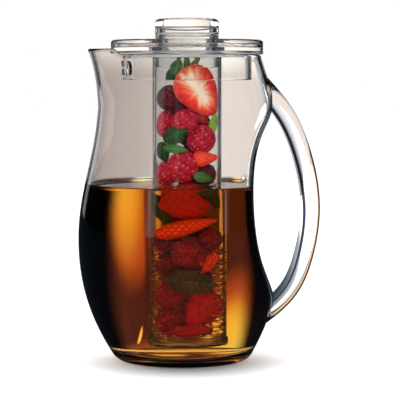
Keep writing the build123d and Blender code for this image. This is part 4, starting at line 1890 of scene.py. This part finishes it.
        # Painted shadow round the jug's foot, seen by camera rays only.
        centre = (self.painted_shadow_centre[0] * MM, self.painted_shadow_centre[1] * MM, 0)
        away = add_node(tree, "ShaderNodeVectorMath", {"operation": "DISTANCE", 1: centre}, in0=place)
        inner, outer = self.painted_shadow_radii
        camera = add_node(tree, "ShaderNodeLightPath").outputs["Is Camera Ray"]
        depth = add_node(tree, "ShaderNodeMath", {"operation": "MULTIPLY", 1: self.painted_shadow_depth},
                         in0=camera)
        shade = add_node(tree, "ShaderNodeMapRange", {
            "interpolation_type": "SMOOTHSTEP", "From Min": outer * MM, "From Max": inner * MM},
            Value=away.outputs["Value"], To_Max=depth.outputs[0])
        dark = add_node(tree, "ShaderNodeMath", {"operation": "MAXIMUM"},
                        in0=shade.outputs["Result"], in1=ray_kinds(tree)[1])
        darker = add_node(tree, "ShaderNodeMath", {"operation": "MAXIMUM"}, in0=dark.outputs[0],
                          in1=self.floor_seen_through(tree, place, away.outputs["Value"]))
        colour = add_node(tree, "ShaderNodeMix", {
            "data_type": "RGBA", 6: linear(self.floor_colour), 7: linear(self.painted_shadow_colour)},
            in0=darker.outputs[0])
        matt = add_node(tree, "ShaderNodeBsdfDiffuse", Color=colour.outputs[2])
        lift = add_node(tree, "ShaderNodeMath", {"operation": "MULTIPLY", 1: self.floor_lift}, in0=camera)
        glow = add_node(tree, "ShaderNodeEmission", Color=colour.outputs[2], Strength=lift.outputs[0])
        both = add_node(tree, "ShaderNodeAddShader", in0=matt.outputs[0], in1=glow.outputs[0])
        tree.links.new(both.outputs[0], output.inputs["Surface"])
        dress(made, material)

    def key_level(self, tree: bpy.types.NodeTree, view: bpy.types.NodeSocket,
                  matt: bpy.types.NodeSocket) -> bpy.types.NodeSocket:
        """Works out the room's strength: one, or by the way looked for light inside the acrylic.

        Args:
            tree: the world's node tree.
            view: socket with the way that a ray looks.
            matt: socket that is 1 for light that has met a matt surface.

        Returns:
            The socket with the strength.
        """
        path = add_node(tree, "ShaderNodeLightPath")
        through = add_node(tree, "ShaderNodeMath", {"operation": "GREATER_THAN", 1: 0.5},
                           in0=path.outputs["Transmission Depth"])
        inside = add_node(tree, "ShaderNodeMath", {"operation": "MULTIPLY"}, in0=matt,
                          in1=through.outputs[0])
        key = add_node(tree, "ShaderNodeVectorMath", {"operation": "DOT_PRODUCT", 1: self.key_way},
                       in0=view)
        keyed = add_node(tree, "ShaderNodeMapRange", {
            "interpolation_type": "SMOOTHSTEP",
            "From Min": self.key_range[0], "From Max": self.key_range[1],
            "To Min": self.key_levels[0], "To Max": self.key_levels[1]}, Value=key.outputs["Value"])
        level = add_node(tree, "ShaderNodeMix", {"data_type": "FLOAT", 2: 1.0}, in0=inside.outputs[0],
                         in3=keyed.outputs["Result"])
        return level.outputs[0]

    def world(self) -> None:
        """Lights the scene and shows each kind of ray its own side of the studio.

        The camera sees white. Light that has met a matt surface comes from an even white room,
        or, for the fruit inside the acrylic, from one that is far brighter to the upper left in
        front. Light that has been mirrored, and met nothing matt, comes from a dark room with a
        bright ceiling, two upright strips and a pale patch ahead, so that clear walls stay clear
        and get thin bright and dark lines. Light that only passed through sees a pale room with
        dark rings round the Y axis.
        """
        world = bpy.data.worlds.new("studio")
        bpy.context.scene.world = world
        world.use_nodes = True
        tree = world.node_tree
        tree.nodes.clear()
        output = add_node(tree, "ShaderNodeOutputWorld")
        view = add_node(tree, "ShaderNodeTexCoord").outputs["Generated"]
        split = add_node(tree, "ShaderNodeSeparateXYZ", Vector=view)
        upright = add_node(tree, "ShaderNodeMath", {"operation": "MULTIPLY", 1: self.upright_share},
                           in0=split.outputs["Z"])
        off = add_node(tree, "ShaderNodeCombineXYZ", X=split.outputs["X"], Y=upright.outputs[0])
        side = add_node(tree, "ShaderNodeVectorMath", {"operation": "LENGTH"}, in0=off.outputs[0])
        onward = add_node(tree, "ShaderNodeMath", {"operation": "GREATER_THAN", 1: 0.5},
                          in0=split.outputs["Y"])
        ahead = add_node(tree, "ShaderNodeMix", {"data_type": "RGBA", 6: linear("000000")},
                         in0=onward.outputs[0], in7=color_steps(tree, side.outputs["Value"], self.ahead))
        mirrored = color_steps(tree, split.outputs["Z"], self.ceiling)
        for part in (color_steps(tree, split.outputs["X"], self.strips), ahead.outputs[2]):
            mirrored = add_node(tree, "ShaderNodeMix", {
                "data_type": "RGBA", "blend_type": "LIGHTEN", 0: 1.0}, in6=mirrored, in7=part).outputs[2]
        matt, mirror = ray_kinds(tree)
        camera = add_node(tree, "ShaderNodeLightPath").outputs["Is Camera Ray"]
        seen = add_node(tree, "ShaderNodeMix", {"data_type": "RGBA"}, in0=mirror,
                        in6=color_steps(tree, side.outputs["Value"], self.flags), in7=mirrored)
        for kind, colour in ((matt, self.room), (camera, "ffffff")):
            seen = add_node(tree, "ShaderNodeMix", {"data_type": "RGBA", 7: linear(colour)}, in0=kind,
                            in6=seen.outputs[2])
        light = add_node(tree, "ShaderNodeBackground", Color=seen.outputs[2],
                         Strength=self.key_level(tree, view, matt))
        tree.links.new(light.outputs[0], output.inputs["Surface"])

    def build(self) -> None:
        """Sets up the camera, floor, world, lights and backdrop."""
        scene = bpy.context.scene
        scene.view_settings.view_transform = "Standard"
        scene.cycles.max_bounces = self.bounces
        scene.cycles.transmission_bounces = self.bounces
        scene.cycles.glossy_bounces = self.mirror_bounces
        scene.cycles.transparent_max_bounces = self.clear_bounces
        self.camera()
        self.floor()
        self.world()
        for panel in self.panels:
            panel.build()
        self.backdrop.build()


def main() -> None:
    """Builds every piece round the frame and reports it."""
    logging.basicConfig(level=logging.INFO, format="%(name)s: %(message)s")
    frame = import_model()
    acrylic = ClearAcrylic("polished_acrylic").build()
    # The lid's many thin layers bend light less, which keeps them as light as photographed.
    layered = ClearAcrylic("layered_acrylic", index=1.36).build()
    silicone = Silicone().build()
    for name, node in frame["nodes"].items():
        dress(node, silicone if name.endswith("_seal") else acrylic)
    lid, infuser = Lid(), Infuser()
    place_piece(JugBody().build(), acrylic, "jug", "jug_body")
    place_piece(Handle().build(), acrylic, "jug", "handle")
    place_piece(lid.guard(), layered, "lid", "pour_guard")
    place_piece(lid.cover(), layered, "lid", "lid_cover")
    place_piece(Knob().build(), acrylic, "knob", "knob")
    place_piece(infuser.tube(), acrylic, "infuser", "infuser_tube")
    place_piece(infuser.cap(), acrylic, "base_cap", "infuser_base_cap")
    tea = Drink().build()
    dress(tea, BrewedTea().build())
    place_prop(tea, "jug")
    skins = {skin.name: skin.build() for skin in SKINS}
    for number, fruit in enumerate(FRUIT, 1):
        place_prop(fruit.build(f"{fruit.kind.value}_{number:02d}", skins[fruit.skin]), "infuser")
    log.info("the jug holds tea and %d pieces of fruit and leaf", len(FRUIT))
    Studio().build()


if __name__ == "__main__":
    main()
